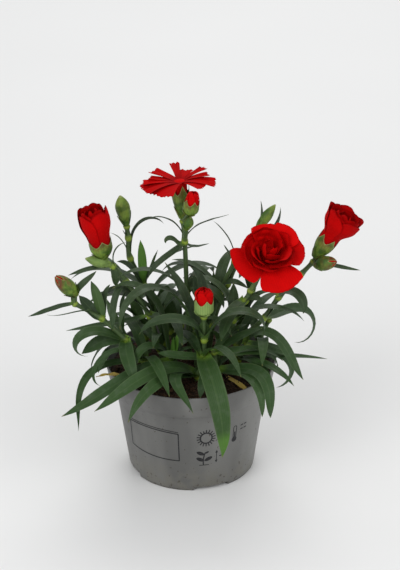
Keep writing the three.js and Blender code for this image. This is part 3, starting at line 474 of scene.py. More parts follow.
WITHERED = [
    {
        "name": "withered_leaf_right", "root": (22, -17, 66.6), "heading": (-50, -48),
        "slope": (8, -6, -8), "roll": (0, 10), "long": 20, "wide": 3.6,
    },
    {
        "name": "withered_leaf_left", "root": (-35, -20, 68.2), "heading": (-160, -176),
        "slope": (32, 12, -20), "roll": (0, 0), "long": 24, "wide": 3.4,
    },
]

# ---------------------------------------------------------------- meshes

MARKS = ("along", "across", "tone", "under")


class Skin:
    """The points and faces of one object, with the marks that its materials read."""

    def __init__(self):
        self.points = []
        self.faces = []
        self.slots = []
        self.marks = []
        self.count = 0

    def add(self, points, faces, slot, *marks):
        """Adds points (n, 3) and faces (rows of point numbers); a mark is a number or n of them."""
        points = np.asarray(points, float).reshape(-1, 3)
        marks = [np.broadcast_to(np.ravel(mark), len(points)) for mark in marks]
        self.points.append(points)
        self.faces += [[k + self.count for k in face] for face in faces]
        self.slots += [slot] * len(faces)
        self.marks.append(np.column_stack(marks))
        self.count += len(points)


def add_object(name, skin, materials, replaced, sharp=48):
    """Makes the object that stands for the replaced nodes."""
    mesh = bpy.data.meshes.new(name)
    mesh.from_pydata((np.concatenate(skin.points) * MM).tolist(), [], skin.faces)
    values = np.concatenate(skin.marks).astype(np.float32)
    for column, mark in enumerate(MARKS):
        attribute = mesh.attributes.new(mark, "FLOAT", "POINT")
        attribute.data.foreach_set("value", np.ascontiguousarray(values[:, column]))
    for material in materials:
        mesh.materials.append(material)
    mesh.polygons.foreach_set("material_index", skin.slots)
    mesh.polygons.foreach_set("use_smooth", [True] * len(skin.faces))
    mesh.set_sharp_from_angle(angle=math.radians(sharp))
    piece = bpy.data.objects.new(name, mesh)
    bpy.context.collection.objects.link(piece)
    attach(piece, "root")
    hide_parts(*replaced)


def grid_faces(numbers):
    """Quads over a grid of point numbers."""
    a, b = numbers[:-1, :-1], numbers[:-1, 1:]
    c, d = numbers[1:, :-1], numbers[1:, 1:]
    return np.stack([a, b, d, c], axis=-1).reshape(-1, 4)


def fan_faces(ring, centre):
    """Triangles from a ring of point numbers to a centre."""
    return np.column_stack([np.roll(ring, -1), ring, np.full(len(ring), centre)])


def unit(vectors):
    return vectors / np.linalg.norm(vectors, axis=-1, keepdims=True)


def add_tube(skin, rings, slot, along=0.0, across=0.0, tone=0.0):
    """A closed solid through rings (n, sides, 3), each run anticlockwise about the course."""
    count, sides = rings.shape[:2]
    numbers = np.arange(count * sides).reshape(count, sides)
    marks = [np.broadcast_to(mark, (count, sides)) for mark in (along, across, tone)]
    marks = [np.concatenate([m.ravel(), m[:1].mean(axis=1), m[-1:].mean(axis=1)]) for m in marks]
    first = count * sides
    points = np.concatenate([rings.reshape(-1, 3), rings[:1].mean(axis=1), rings[-1:].mean(axis=1)])
    body = grid_faces(np.column_stack([numbers, numbers[:, 0]])).tolist()
    ends = fan_faces(numbers[0], first).tolist() + fan_faces(numbers[-1][::-1], first + 1).tolist()
    skin.add(points, body + ends, slot, *marks, 0.0)


def add_blade(skin, grid, above, below, slot, along, across, tone):
    """A thin closed blade: its faces stand above and below the grid and meet at its edge."""
    rows, columns = grid.shape[:2]
    normals = unit(np.cross(np.gradient(grid, axis=0), np.gradient(grid, axis=1)))
    above = np.broadcast_to(above, (rows, columns))[..., None]
    below = np.broadcast_to(below, (rows, columns))[..., None]
    upper = np.arange(rows * columns).reshape(rows, columns)
    inner = np.zeros((rows, columns), bool)
    inner[1:-1, 1:-1] = True
    lower = upper.copy()
    lower[inner] = rows * columns + np.arange(inner.sum())
    points = np.concatenate([
        (grid + normals * above).reshape(-1, 3), (grid - normals * below)[inner],
    ])
    marks = [np.broadcast_to(mark, (rows, columns)) for mark in (along, across, tone)]
    marks = [np.concatenate([mark.ravel(), mark[inner]]) for mark in marks]
    under = np.concatenate([np.zeros(rows * columns), np.ones(inner.sum())])
    faces = np.concatenate([grid_faces(upper)[:, ::-1], grid_faces(lower)]).tolist()
    skin.add(points, faces, slot, *marks, under)


def round_points(radius, angle, height):
    """Points at a radius, an angle in radians and a height, spread over one grid."""
    radius, angle, height = np.broadcast_arrays(radius, angle, height)
    return np.stack([radius * np.cos(angle), radius * np.sin(angle), height], axis=-1)


def turn_of(sides):
    """Angles in radians round a whole turn."""
    return 2 * math.pi * np.arange(sides) / sides


def lengths_along(points):
    """Distance from the start of a line to each of its points."""
    return np.concatenate([[0], np.cumsum(np.linalg.norm(np.diff(points, axis=0), axis=1))])


def seeded(seed):
    """Random numbers from 0 to 1 that are the same on every run."""
    state = seed
    while True:
        state = state * LEHMER.factor % LEHMER.modulus
        yield state / LEHMER.modulus


def waves(random, count=4, lowest=1.0, highest=5.0):
    """A smooth random function from -1 to 1, made of a few waves."""
    rates = random.uniform(lowest, highest, count)
    phases = random.uniform(0, 2 * math.pi, count)
    return lambda x: sum(np.sin(r * math.pi * x + p) for r, p in zip(rates, phases)) / count


def ramp(t, start, end):
    """0 up to the start, 1 from the end on, and a smooth rise between them."""
    t = np.clip((t - start) / (end - start), 0, 1)
    return t * t * (3 - 2 * t)


# ---------------------------------------------------------------- leaves

def angle_at(pair, s):
    """The angle in radians at share s of the way from one number of degrees to another."""
    return np.radians(pair[0] + (pair[1] - pair[0]) * s)


def spine(leaf):
    """The frames along a leaf's or petal's midline, from its root to its tip."""
    slope = leaf["slope"]

    def along_at(s):
        a = angle_at(leaf["heading"], s)
        start, middle, end = (2 * s - 1) * (s - 1), 4 * s * (1 - s), s * (2 * s - 1)
        e = np.radians(slope[0] * start + slope[1] * middle + slope[2] * end)
        return np.stack([np.cos(e) * np.cos(a), np.cos(e) * np.sin(a), np.sin(e)], axis=-1)

    s = np.arange(LEAF.steps + 1) / LEAF.steps
    along = along_at(s)
    moves = along_at(s[:-1] + 0.5 / LEAF.steps) * (leaf["long"] / LEAF.steps)
    points = np.cumsum(np.vstack([leaf["root"], moves]), axis=0)
    a = angle_at(leaf["heading"], s)
    level = np.stack([-np.sin(a), np.cos(a), np.zeros_like(a)], axis=-1)
    up = np.cross(along, level)
    tilt = angle_at(leaf["roll"], s)[:, None]
    side = level * np.cos(tilt) + up * np.sin(tilt)
    return SimpleNamespace(point=points, along=along, side=side, normal=np.cross(along, side))


def on_spine(frames, s, across, lift):
    """Points of a blade at shares s of its length, off the midline by across and lift."""
    at = np.clip(s, 0, 1) * LEAF.steps
    k = np.minimum(np.floor(at), LEAF.steps - 1).astype(int)

    def place(n):
        return frames.point[n] + frames.side[n] * across[..., None] + frames.normal[n] * lift[..., None]

    share = (at - k)[..., None]
    return place(k) * (1 - share) + place(k + 1) * share


def leaf_width(s):
    """Share of full width along a leaf: a sheathing root, a strap, then a long taper to the tip."""
    opened = np.sin(np.minimum(1, s / LEAF.widens) * math.pi / 2)
    late = np.maximum(0, (s - LEAF.tapers) / (1 - LEAF.tapers))
    return (LEAF.root + (1 - LEAF.root) * opened) * (1 - LEAF.tip_loss * late ** LEAF.taper)


def leaf_record(stem, row):
    joint, h0, h1, s0, s1, s2, r0, r1, long, wide = row
    return {
        "stem": stem["name"], "root": stem["joints"][joint], "heading": (h0, h1),
        "slope": (s0, s1, s2), "roll": (r0, r1), "long": long, "wide": wide,
    }


def spare_leaves():
    """The leaves that grow by rule: opposite pairs that arch out, each pair a quarter turn on."""
    random = seeded(SPARE.seed)

    def vary(middle, spread):
        return middle + spread * (2 * next(random) - 1)

    leaves = []
    for stem in STEMS:
        foot = stem["joints"][0]
        for joint in stem.get("pairs", []):
            x, y = stem["joints"][joint][:2]
            lean = math.degrees(math.atan2(y - foot[1], x - foot[0]))
            for turn in (0, 180):
                heading = vary(lean + 90 * joint + turn, SPARE.heading_spread)
                curve = [vary(e, SPARE.slope_spread) for e in SPARE.slope]
                long = vary(SPARE.long, SPARE.long_spread)
                wide = vary(SPARE.wide, SPARE.wide_spread)
                tip = vary(heading, SPARE.heading_spread)
                leaves.append(leaf_record(stem, (joint, heading, tip, *curve, 0, 0, long, wide)))
    return leaves


def pot_radius(z):
    """Outer radius of the pot at a height: a tapered body, then the wider band under the rim."""
    above = z - NECK_HEIGHT
    body = POT.base_radius + np.maximum(z, 0) * (POT.neck_radius - POT.base_radius) / NECK_HEIGHT
    band = POT.band_radius + above * (POT.rim_radius - POT.band_radius) / POT.band_height
    return np.where(above > 0, band, body)


def soil_height(x, y):
    """Height of the soil's surface: a low mound with crumbs and dents."""
    r = np.hypot(x, y) / POT.band_radius
    swell = np.sin(SOIL.swell[0] * x + SOIL.swell_start) * np.cos(SOIL.swell[1] * y)
    ripple = SOIL.ripple_share * np.sin(SOIL.ripple[0] * y - SOIL.ripple[1] * x)
    return SOIL.edge_height + SOIL.mound * (1 - r * r) + SOIL.roughness * (swell + ripple)


def clear_of_pot(p):
    """Whether every point lies clear of the pot and the soil."""
    x, y, z = p.T
    r = np.hypot(x, y)
    above = z > POT.height + LEAF.clearance
    outside = r > pot_radius(np.minimum(z, POT.height)) + LEAF.clearance
    inside = (r < POT.band_radius - POT.wall - LEAF.clearance) & (z > soil_height(x, y) + LEAF.clearance)
    return np.all(above | outside | inside)


def course_of(stem, u):
    """Points of a stem's course, a Catmull-Rom curve through its joints, at shares u of it."""
    joints = np.array(stem["joints"], float)
    spans = len(joints) - 1
    ends = 2 * joints[[0, -1]] - joints[[1, -2]]
    padded = np.vstack([ends[:1], joints, ends[1:]])
    at = np.clip(u, 0, 1) * spans
    k = np.minimum(np.floor(at), spans - 1).astype(int)
    t = (at - k)[..., None]
    before, start, end, after = (padded[k + n] for n in range(4))
    t0, t1 = 0.5 * (end - before), 0.5 * (after - start)
    return (start + t0 * t + (-3 * start + 3 * end - 2 * t0 - t1) * t ** 2
            + (2 * start - 2 * end + t0 + t1) * t ** 3)


def head_matrix(head):
    """The axes and place of a head: local +Z is the way it points, local +X stays near +X."""
    z = unit(np.array(head["axis"], float))
    x = unit(np.array([1.0, 0.0, 0.0]) - z * z[0])
    return np.array([x, np.cross(z, x), z]), np.array(head["base"], float)


def moved(head, points):
    axes, place = head_matrix(head)
    return points @ axes + place


# The room that a bloom takes, in sizes: its reach from the axis and its depth along it.
ROOM = {"tip": (1, 1), "bud": (1, 1), "cup": (1, 2), "rosette": (1.1, 0.9), "star": (0.4, 0.3)}


def bars_of(stems):
    """Straight bars that stand for the stems, calyces and blooms while leaves are placed."""
    bars = []
    for stem in stems:
        count = 4 * (len(stem["joints"]) - 1)
        points = course_of(stem, np.arange(count + 1) / count)
        bars += [(stem["name"], a, b, STEM.joint_radius) for a, b in zip(points[:-1], points[1:])]
        for head in stem.get("heads", []):
            foot, mouth = moved(head, np.array([[0, 0, 0], [0, 0, head["long"]]], float))
            bars.append((stem["name"], foot, mouth, head["radius"]))
            if "bloom" in head:
                reach, depth = ROOM[head["bloom"]]
                top = moved(head, np.array([0, 0, head["long"] + depth * head["size"]]))
                bars.append((None, mouth, top, reach * head["size"]))
    return bars


class Thicket:
    """What stands already, against which the next leaf is tried."""

    def __init__(self, bars):
        self.bar_stems = np.array([stem or "" for stem, *_ in bars])
        self.bar_from = np.array([a for _, a, _, _ in bars])
        self.bar_along = np.array([b - a for _, a, b, _ in bars])
        self.bar_radius = np.array([radius for *_, radius in bars])
        self.leaves = []

    def add(self, leaf, frames):
        s = np.arange(LEAF.steps + 1) / LEAF.steps
        self.leaves.append(SimpleNamespace(
            stem=leaf.get("stem"), frames=frames, step=leaf["long"] / LEAF.steps,
            middle=frames.point[LEAF.steps // 2], reach=leaf["long"] / 2 + leaf["wide"],
            half=leaf["wide"] / 2 * leaf_width(s),
        ))

    def clear_of_bars(self, p, stem):
        others = self.bar_stems != stem
        start, along = self.bar_from[others], self.bar_along[others]
        offset = p[:, None] - start
        t = np.clip(np.sum(offset * along, axis=-1) / np.sum(along * along, axis=-1), 0, 1)
        gap = np.linalg.norm(offset - t[..., None] * along, axis=-1)
        return np.all(gap >= self.bar_radius[others] + LEAF.clearance)

    def clear_of_leaf(self, p, own_step, other):
        near = p[np.linalg.norm(p - other.middle, axis=-1) <= other.reach]
        if not len(near):
            return True
        d = near[:, None] - other.frames.point
        across = np.abs(np.sum(d * other.frames.side, axis=-1))
        lift = LEAF.fold * np.minimum(across, other.half)
        hit = np.abs(np.sum(d * other.frames.along, axis=-1)) < other.step / 2 + own_step / 4
        hit &= across < other.half + LEAF.clearance / 2
        hit &= np.abs(np.sum(d * other.frames.normal, axis=-1) - lift) < LEAF.clearance
        return not hit.any()

    def is_clear(self, leaf, frames):
        """Whether a leaf keeps clear of the pot, other stems and heads, and the placed leaves."""
        s = np.arange(2, LEAF.steps + 1)
        half = (leaf["wide"] / 2 * leaf_width(s / LEAF.steps))[:, None]
        p = np.concatenate([
            frames.point[s] + frames.side[s] * x * half + frames.normal[s] * LEAF.fold * half * x * x
            for x in (-1, 0, 1)
        ])
        if not clear_of_pot(p) or not self.clear_of_bars(p, leaf["stem"]):
            return False
        step = leaf["long"] / LEAF.steps
        others = (other for other in self.leaves if other.stem != leaf["stem"])
        return all(self.clear_of_leaf(p, step, other) for other in others)


def bend_leaf(leaf, bend, turn_round):
    turn, lift, arch = bend
    step = BEND_STEP * turn_round
    heading = [a + turn * step for a in leaf["heading"]]
    slope = [e + lift * step + arch * (1 - k) * step for k, e in enumerate(leaf["slope"])]
    long = leaf["long"] * (1 - BEND_LOSS * turn_round)
    return {**leaf, "heading": heading, "slope": slope, "long": long}


def settle_leaf(leaf, thicket):
    """The leaf as it grows, or the least bent one that crosses nothing; None if there is none."""
    for turn_round in range(BEND_ROUNDS + 1):
        for bend in BENDS if turn_round else [(0, 0, 0)]:
            bent = bend_leaf(leaf, bend, turn_round)
            frames = spine(bent)
            if thicket.is_clear(bent, frames):
                thicket.add(bent, frames)
                return bent
    return None


def place_leaves():
    """Places the chosen leaves and then the spare ones; a leaf with no clear place is left out."""
    thicket = Thicket(bars_of(STEMS))
    for leaf in WITHERED:
        thicket.add(leaf, spine(leaf))
    chosen = [leaf_record(stem, row) for stem in STEMS for row in stem.get("leaves", [])]
    settled = [settle_leaf(leaf, thicket) for leaf in chosen + spare_leaves()]
    return [leaf for leaf in settled if leaf]


# Young leaves in a light green, by stem and width: the share of the leaf at which it turns light.
YOUNG = {
    ("stem_front_bud", 12.6): 0.8, ("shoot_left_front", 4.4): 0, ("shoot_left_front", 3.6): 0,
    ("shoot_left", 5.4): 0,
}
LEAF_COLUMNS = np.array([-1, -0.82, -0.5, -0.2, -0.07, 0, 0.07, 0.2, 0.5, 0.82, 1])


def add_leaf(skin, leaf, slot, random, crisp=0.0):
    """A strap with a grooved, keeled midrib, which clasps its stem at the root; crisp curls it."""
    s = np.arange(LEAF.steps + 1)[:, None] / LEAF.steps
    x = LEAF_COLUMNS[None, :]
    sway, curl = waves(random), waves(random)
    tip = 1 - LEAF.blunt * s ** LEAF.blunt_power
    half = leaf["wide"] / 2 * leaf_width(s) * tip * (1 + LEAF.sway * sway(2 * s + 0.2 * x))
    fold = LEAF.fold + LEAF.clasp * np.exp(-s / LEAF.clasp_reach)
    curled = (LEAF.wave + crisp) * curl(1.5 * s + 0.3 * x) * np.abs(x) * ramp(s, 0, 0.25)
    grid = on_spine(spine(leaf), s + 0 * x, x * half, fold * half * x * x + curled)
    slim = np.minimum(1, half / LEAF.slim_under)
    body = LEAF.thickness / 2 * np.sqrt(1 - x * x) * slim * (1 - s / 2)
    rib = np.minimum(1, half / LEAF.ribbed_over) * (1 - s) ** LEAF.rib_fade
    above = body - LEAF.groove * rib * np.exp(-(x / LEAF.groove_wide) ** 2)
    below = body + LEAF.keel * rib * np.exp(-(x / LEAF.keel_wide) ** 2)
    tone = random.uniform(0, 1)
    turns_light = YOUNG.get((leaf.get("stem"), leaf["wide"]))
    if turns_light is not None:
        tone = 1 + ramp(s, turns_light - LEAF.light_within, turns_light + LEAF.light_within)
    add_blade(skin, grid, above, below, slot, s, x, tone)


# ---------------------------------------------------------------- stems and calyces

def rings_about(points, along, radii, sides):
    """Rings of points round a course; radii is a number for each ring."""
    side = unit(np.cross([0.0, 1.0, 0.0], along))[:, None]
    other = np.cross(along[:, None], side)
    angle = turn_of(sides)[None, :, None]
    return points[:, None] + np.asarray(radii)[:, None, None] * (
        side * np.cos(angle) + other * np.sin(angle)
    )


def add_stem(skin, stem, slot):
    """A round stem, swollen at its joints, each a knee with a short sheath above it."""
    spans = len(stem["joints"]) - 1
    distance = lengths_along(course_of(stem, np.linspace(0, 1, STEM.fine * spans + 1)))
    at = np.linspace(0, distance[-1], int(distance[-1] / STEM.step) + 2)
    u = np.interp(at, distance, np.linspace(0, 1, len(distance)))
    points = course_of(stem, u)
    along = unit(np.gradient(points, axis=0))
    plain = STEM.radius + (STEM.top_radius - STEM.radius) * u
    below, above = STEM.swelling
    near = np.zeros_like(at)
    for joint in distance[STEM.fine::STEM.fine]:
        away = at - joint
        near = np.maximum(near, np.exp(-(away / np.where(away < 0, below, above)) ** 2))
    radii = plain + (STEM.joint_radius - plain) * near
    dome, fade = np.array(STEM.dome).T
    points = np.vstack([points, points[-1] + along[-1] * (dome * STEM.radius)[:, None]])
    radii = np.concatenate([radii, radii[-1] * np.sqrt(1 - dome ** 2)])
    along = np.vstack([along, np.repeat(along[-1:], len(dome), axis=0)])
    near = np.concatenate([near, fade])
    share = np.concatenate([u, np.ones(len(dome))])
    rings = rings_about(points, along, radii, STEM.sides)
    add_tube(skin, rings, slot, share[:, None], 0.0, near[:, None])


def calyx_radius(head, t):
    """Radius of a calyx at share t of its length: it swells, then goes on to the mouth or tip."""
    full = head["full"]
    swell = CALYX.foot + (CALYX.belly - CALYX.foot) * np.sin(np.minimum(t / full, 1) * math.pi / 2)
    later = np.maximum(0, (t - full) / (1 - full)) ** CALYX.narrowing
    return head["radius"] * (swell + (max(head["mouth"], CALYX.pointed) - CALYX.belly) * later)


def cup_neck(head):
    """Radius at which petals come out of a cup."""
    return calyx_radius(head, 1.0) - CALYX.wall - PETAL.thickness / 2


def tooth_line(angle, narrow):
    """0 at the tip of each of the calyx's teeth and 1 in the notch between two of them."""
    return np.abs(np.sin(CALYX.teeth * angle / 2)) ** narrow


def calyx_rings(head, share, angle):
    """Radii and heights of the calyx's outside: share is 0 at its foot and 1 along its edge."""
    if head["mouth"] == 0:
        seam = ramp(share, 0.5, 0.8) * (1 - ramp(share, 0.9, 1))
        groove = CALYX.seam_depth * seam * (1 - tooth_line(angle, CALYX.seam_narrow))
        return calyx_radius(head, share) * (1 - groove), share * head["long"]
    if head["mouth"] < CALYX.shut_under:
        notch = CALYX.tooth_depth * tooth_line(angle, CALYX.shut_teeth)
        t = share * (CALYX.folded - notch * ramp(share, 0.4, 1))
        close = np.sqrt(1 - np.clip((t - CALYX.folds_at) / 0.3, 0, 0.97) ** 2)
        return calyx_radius(head, t) * close, t * head["long"]
    notch = CALYX.tooth_depth * tooth_line(angle, CALYX.open_teeth)
    t = share * (1 - notch * ramp(share, 0.4, 1))
    return calyx_radius(head, t), t * head["long"]


# How brown a bloom's calyx is towards its teeth, from 0 for a pale green one; PALE is the most
# that any other calyx is.
BLUSH = {
    "petals_front_bud": 0.0, "petals_left_bud": 0.9, "petals_left_flower": 0.4,
    "petals_right_bud": 0.9, "petals_right_flower": 0.5, "petals_top_bud": 0.6,
    "petals_top_flower": 0.5, "petals_double_flower": 0.3,
}
PALE = 0.35


def add_calyx(skin, stem, head, slot, stalk_slot, random):
    """A ribbed calyx with five teeth round an open cup, or a closed bud, on its stalk."""
    angle = turn_of(CALYX.sides)[None, :]
    share = np.linspace(0, 1, CALYX.rows)[:, None]
    tone = BLUSH.get(head.get("name"), random.uniform(0, PALE))
    radius, height = calyx_rings(head, share, angle)
    if head["mouth"] > 0:
        back = slice(-1, -CALYX.inner_rows - 1, -1)
        inward = ramp(np.arange(CALYX.inner_rows)[:, None], 0, CALYX.rim_rows)
        depth = CALYX.wall * (CALYX.rim + (1 - CALYX.rim) * inward)
        radius = np.concatenate([radius, np.maximum(radius[back] - depth, CALYX.least)])
        height = np.concatenate([height, height[back]])
        share = np.concatenate([share, share[back]])
    rings = moved(head, round_points(radius, angle, height))
    add_tube(skin, rings, slot, share, angle / (2 * math.pi), tone)
    add_stalk(skin, stem, head, stalk_slot)
    add_bracts(skin, head, slot, tone)


def add_stalk(skin, stem, head, slot):
    """The short stalk from a stem's joint to the foot of a calyx, palest at the joint."""
    joint = np.array(stem["joints"][head["from"]], float)
    foot = moved(head, np.array([0, 0, STEM.top_radius]))
    steps = np.linspace(0, 1, STEM.stalk_rings)[:, None]
    course = joint * (1 - steps) + foot * steps
    along = np.repeat(unit(foot - joint)[None], len(course), axis=0)
    stalk = rings_about(course, along, np.full(len(course), STEM.top_radius), STEM.sides)
    add_tube(skin, stalk, slot, 0.5, 0.0, 0.6 - 0.5 * steps)


BRACT = SimpleNamespace(
    turn=25, rows=12, columns=9, blunt=1.6, taper=0.35, arch=0.05, off=0.22, lift=0.25, sunk=0.3,
    thickness=0.36, rim=0.02,
)
# The scales: heading, height as a share of the calyx's length and half their span in degrees.
BRACTS = [(0, 0.42, 44), (180, 0.4, 44), (90, 0.34, 40), (270, 0.32, 40)]


def add_bracts(skin, head, slot, tone):
    """Two pairs of pointed scales pressed against the foot of the calyx."""
    s = np.linspace(0, 1, BRACT.rows)[:, None]
    x = np.linspace(-1, 1, BRACT.columns)[None, :]
    width = np.minimum(1, BRACT.blunt * (1 - s)) ** 0.8 * (1 - BRACT.taper * s) + BRACT.rim
    thick = BRACT.thickness / 2 * np.sqrt(1 - x * x) + BRACT.rim + 0 * s
    for heading, high, spread in BRACTS:
        angle = np.radians(BRACT.turn + heading + x * spread * width)
        t = s * high * (1 - BRACT.arch * x * x)
        radius = calyx_radius(head, t) + BRACT.off + BRACT.lift * s ** 3
        grid = moved(head, round_points(radius, angle, t * head["long"] - BRACT.sunk))
        add_blade(skin, grid[:, ::-1], thick, thick, slot, 0.55 * s + 0.35, 0.5 + 0.1 * x, tone)


# ---------------------------------------------------------------- petals

# How bright the petals are by kind of bloom: the darkest and the brightest tone. Partly each bloom's own
# red, partly painted light: the rosette brightened as painted light in its bowl, the star darkened as
# painted shade.
REDS_AND_PAINTED_LIGHT = {
    "tip": (0.2, 0.7), "bud": (0.2, 0.7), "cup": (0.0, 0.45), "rosette": (0.4, 0.85), "star": (0.0, 0.3),
}
# Rings of wrapped petals, in sizes where nothing else is said: how many, the heading of the
# first and the degrees that one spans; the radii at foot (a share of the neck's), belly and edge;
# where it begins above the mouth (None deep in the cup) and how high it stands; how much it
# winds, and how far it ruffles in millimetres. A cup's own flare and rise come on top.
BUD_RINGS = [
    (5, 30, 90, (0.97, 1.0, 0.62), None, 0.9, 0.07, 0.5),
    (4, 50, 110, (0.7, 0.72, 0.36), 0, 0.98, 0.12, 0.5),
    (3, 0, 130, (0.4, 0.42, 0.12), 0, 1.0, 0.12, 0.4),
]
CUP_RINGS = [
    (5, 10, 102, (0.98, 1, 1), None, 0, 0.07, 0.5),
    (4, 40, 118, (0.8, 0.86, 0.78), 0, 0, 0.1, 0.45),
    (3, 70, 140, (0.6, 0.68, 0.5), 0, 0.02, 0.14, 0.4),
    (3, 0, 150, (0.4, 0.5, 0.22), 0, 0.02, 0.16, 0.35),
]
ROSETTE_RINGS = [
    (5, 30, 96, (0.9, 0.82, 1.0), 0.0, 0.76, 0.07, 1.1),
    (3, 75, 120, (0.72, 0.66, 0.78), 0.08, 0.88, 0.16, 1.3),
    (4, 10, 80, (0.6, 0.48, 0.48), 0.1, 0.94, 0.22, 1.4),
    (3, 80, 100, (0.4, 0.3, 0.2), 0.1, 0.98, 0.3, 1.1),
]


def add_petal(skin, head, grid, along, across, tone):
    """A petal's blade, thin at its rim; tone is a share of its kind's span of brightness, which is
    partly painted light.
    """
    darkest, brightest = REDS_AND_PAINTED_LIGHT[head["bloom"]]
    tone = darkest + (brightest - darkest) * tone
    round_side = np.sqrt(np.maximum(0, 1 - across ** 2))
    body = PETAL.thickness / 2 * round_side * (1 - PETAL.thinning * along) + PETAL.rim
    add_blade(skin, moved(head, grid), body, body, 0, along, across, tone)


def add_wrapped(skin, head, random, angle, spread, radii, low, high, spiral, ruffle, lit_reach):
    """A petal that stands round the axis: it follows the cup's wall and swells out above it."""
    t = np.linspace(0, 1, PETAL.rows)[:, None]
    x = np.linspace(-1, 1, PETAL.columns)[None, :]
    foot, belly, edge = radii
    mouth, neck = head["long"], cup_neck(head)
    lip, fringe = waves(random, 4, 0.8, 3.0), waves(random, 4, 5.0, 12.0)
    top = high + ruffle * (0.6 * lip(x) + 0.3 * fringe(x))
    z = low + (top - low) * (t - PETAL.roundness * x * x * t)
    free = np.clip((z - mouth) / (high - mouth), 0, 1)
    swell = (belly - foot * neck) * ramp(free, 0, PETAL.swollen)
    over = np.maximum(0, (free - PETAL.swollen) / (1 - PETAL.swollen))
    wall = calyx_radius(head, np.minimum(z / mouth, 1)) - CALYX.wall - PETAL.thickness / 2
    r = (foot * wall + swell + (edge - belly) * over ** 1.5) * (1 + spiral * x)
    r = r + ruffle * lip(x + 0.3 * t) * free ** 3
    r = np.where(z < mouth, np.minimum(r, wall), r)
    a = np.radians(angle + x * (1 - PETAL.drawn_in * ramp(t, 0.75, 1)) * spread / 2)
    grid = round_points(np.maximum(r, PETAL.least), a, z)
    # The along mark, scaled by the last argument, sets how much of the petal takes the painted shade.
    add_petal(skin, head, grid, lit_reach * t, x, random.uniform(0, 1))


def add_rings(skin, head, random, rings, unlike=0.05, lit_reach=1.0):
    """Rings of wrapped petals; unlike is how much their sizes differ, and the last argument scales the
    petals' along mark, so that under 1 more of each petal takes the painted shade of the flower's depth.
    """
    size, mouth = head["size"], head["long"]
    flare, rise = head.get("flare", (1, 1)), head.get("rise", 0)
    for count, start, spread, (foot, belly, edge), low, high, spiral, ruffle in rings:
        low = mouth + (-CALYX.petal_depth * mouth if low is None else low * size)
        for k in range(count):
            grown = random.uniform(0.99 - unlike, 0.99 + unlike, 3)
            radii = (foot, belly * flare[0] * size * grown[0], edge * flare[1] * size * grown[1])
            heading = start + 360 * k / count + random.uniform(-PETAL.astray, PETAL.astray)
            add_wrapped(
                skin, head, random, heading, spread, radii, low,
                mouth + (high * size + rise) * grown[2], spiral, ruffle, lit_reach,
            )


def add_spread(skin, head, random, heading, slope, long, wide, fan, foot, ruffle):
    """A petal that spreads from its foot (radius, height): a narrow claw, then a toothed fan."""
    s = np.linspace(0, 1, PETAL.fan_rows)[:, None]
    x = np.linspace(-1, 1, PETAL.fan_columns)[None, :]
    reach, height = foot
    a = math.radians(heading)
    root = (reach * math.cos(a), reach * math.sin(a), head["long"] + height)
    frames = spine({
        "root": root, "heading": (heading, heading), "slope": slope, "roll": (0, 0), "long": long,
    })
    half = wide / 2 * (fan.claw + (1 - fan.claw) * ramp(s, 0, 1 / fan.rate))
    lip, fringe = waves(random, 4, 1.0, 3.2), waves(random, 5, 5.0, 11.0)
    end = s * (1 - fan.roundness * x * x * s)
    end = end * (1 - fan.fringe * (1 + fringe(x)) * s ** 6)
    lift = fan.hollow * half * x * x + ruffle * lip(x + 0.4 * s) * ramp(s, 0.2, 1)
    grid = on_spine(frames, end, x * half, lift)
    add_petal(skin, head, grid, s, x, random.uniform(0, 1))


CORE = SimpleNamespace(
    levels=(0.72, 0.9, 0.98), rises=(0.12, 0.98, 12), swollen=0.35, closing=0.98, sides=40,
    folds=2.5, fold_depth=0.16,
)


def add_core(skin, head, belly, height, twist=0.0):
    """The core that fills the cup and rises above it as a dome, out of which the petals grow."""
    mouth, room = head["long"], CALYX.wall + PETAL.room
    neck = calyx_radius(head, 1.0) - room
    t = np.array([CALYX.cup_start, *CORE.levels])
    rise = np.linspace(*CORE.rises)
    swell = neck + (belly - neck) * np.minimum(1, rise / CORE.swollen)
    dome = swell * np.sqrt(1 - CORE.closing * rise ** 2)
    radius = np.concatenate([np.maximum(calyx_radius(head, t) - room, 0.5), dome])[:, None]
    z = np.concatenate([t * mouth, mouth + rise * height])[:, None]
    z[0] += GAP
    up = np.maximum(0, (z - mouth) / height)
    angle = turn_of(CORE.sides)[None, :]
    if twist:
        fold = 1 - np.abs(np.sin(CORE.folds * angle + twist * up))
        radius = radius * (1 - CORE.fold_depth * fold ** 2 * (up > 0))
    rings = moved(head, round_points(radius, angle, z))
    # The core's along mark is low in the cup, so its lower part takes the petals' painted shade.
    add_tube(skin, rings, 0, 0.35 + 0.6 * up, angle / math.pi - 1, 0.5)


def bloom_tip(skin, head, random):
    """A bud that has just opened at its tip: petals wound in a cone, darkened all over by painted shade
    where it is shut.
    """
    neck = cup_neck(head) / head["size"]
    shut = head["mouth"] < CALYX.shut_under
    belly = (0.5 if shut else 0.84) * neck
    add_core(skin, head, 0.3 * cup_neck(head), 0.6 * head["size"])
    ring = (5, 20, 120, (0.96, belly, 0.1 * neck), None, 1, 0.12, 0.2)
    # A shut bud's petals take the painted shade all over.
    add_rings(skin, head, random, [ring], lit_reach=0.12 if shut else 1.0)


def bloom_bud(skin, head, random):
    """A bud that is opening: crumpled petals fill its cup and rise over it as a low dome."""
    add_core(skin, head, 0.5 * head["size"], 0.6 * head["size"])
    add_rings(skin, head, random, BUD_RINGS)


def bloom_cup(skin, head, random):
    """A half open flower: petals wound round each other, the outer ones flaring or closing."""
    add_core(skin, head, 0.44 * head["size"], 0.82 * head["rise"], twist=2.5)
    add_rings(skin, head, random, CUP_RINGS, unlike=0.03)


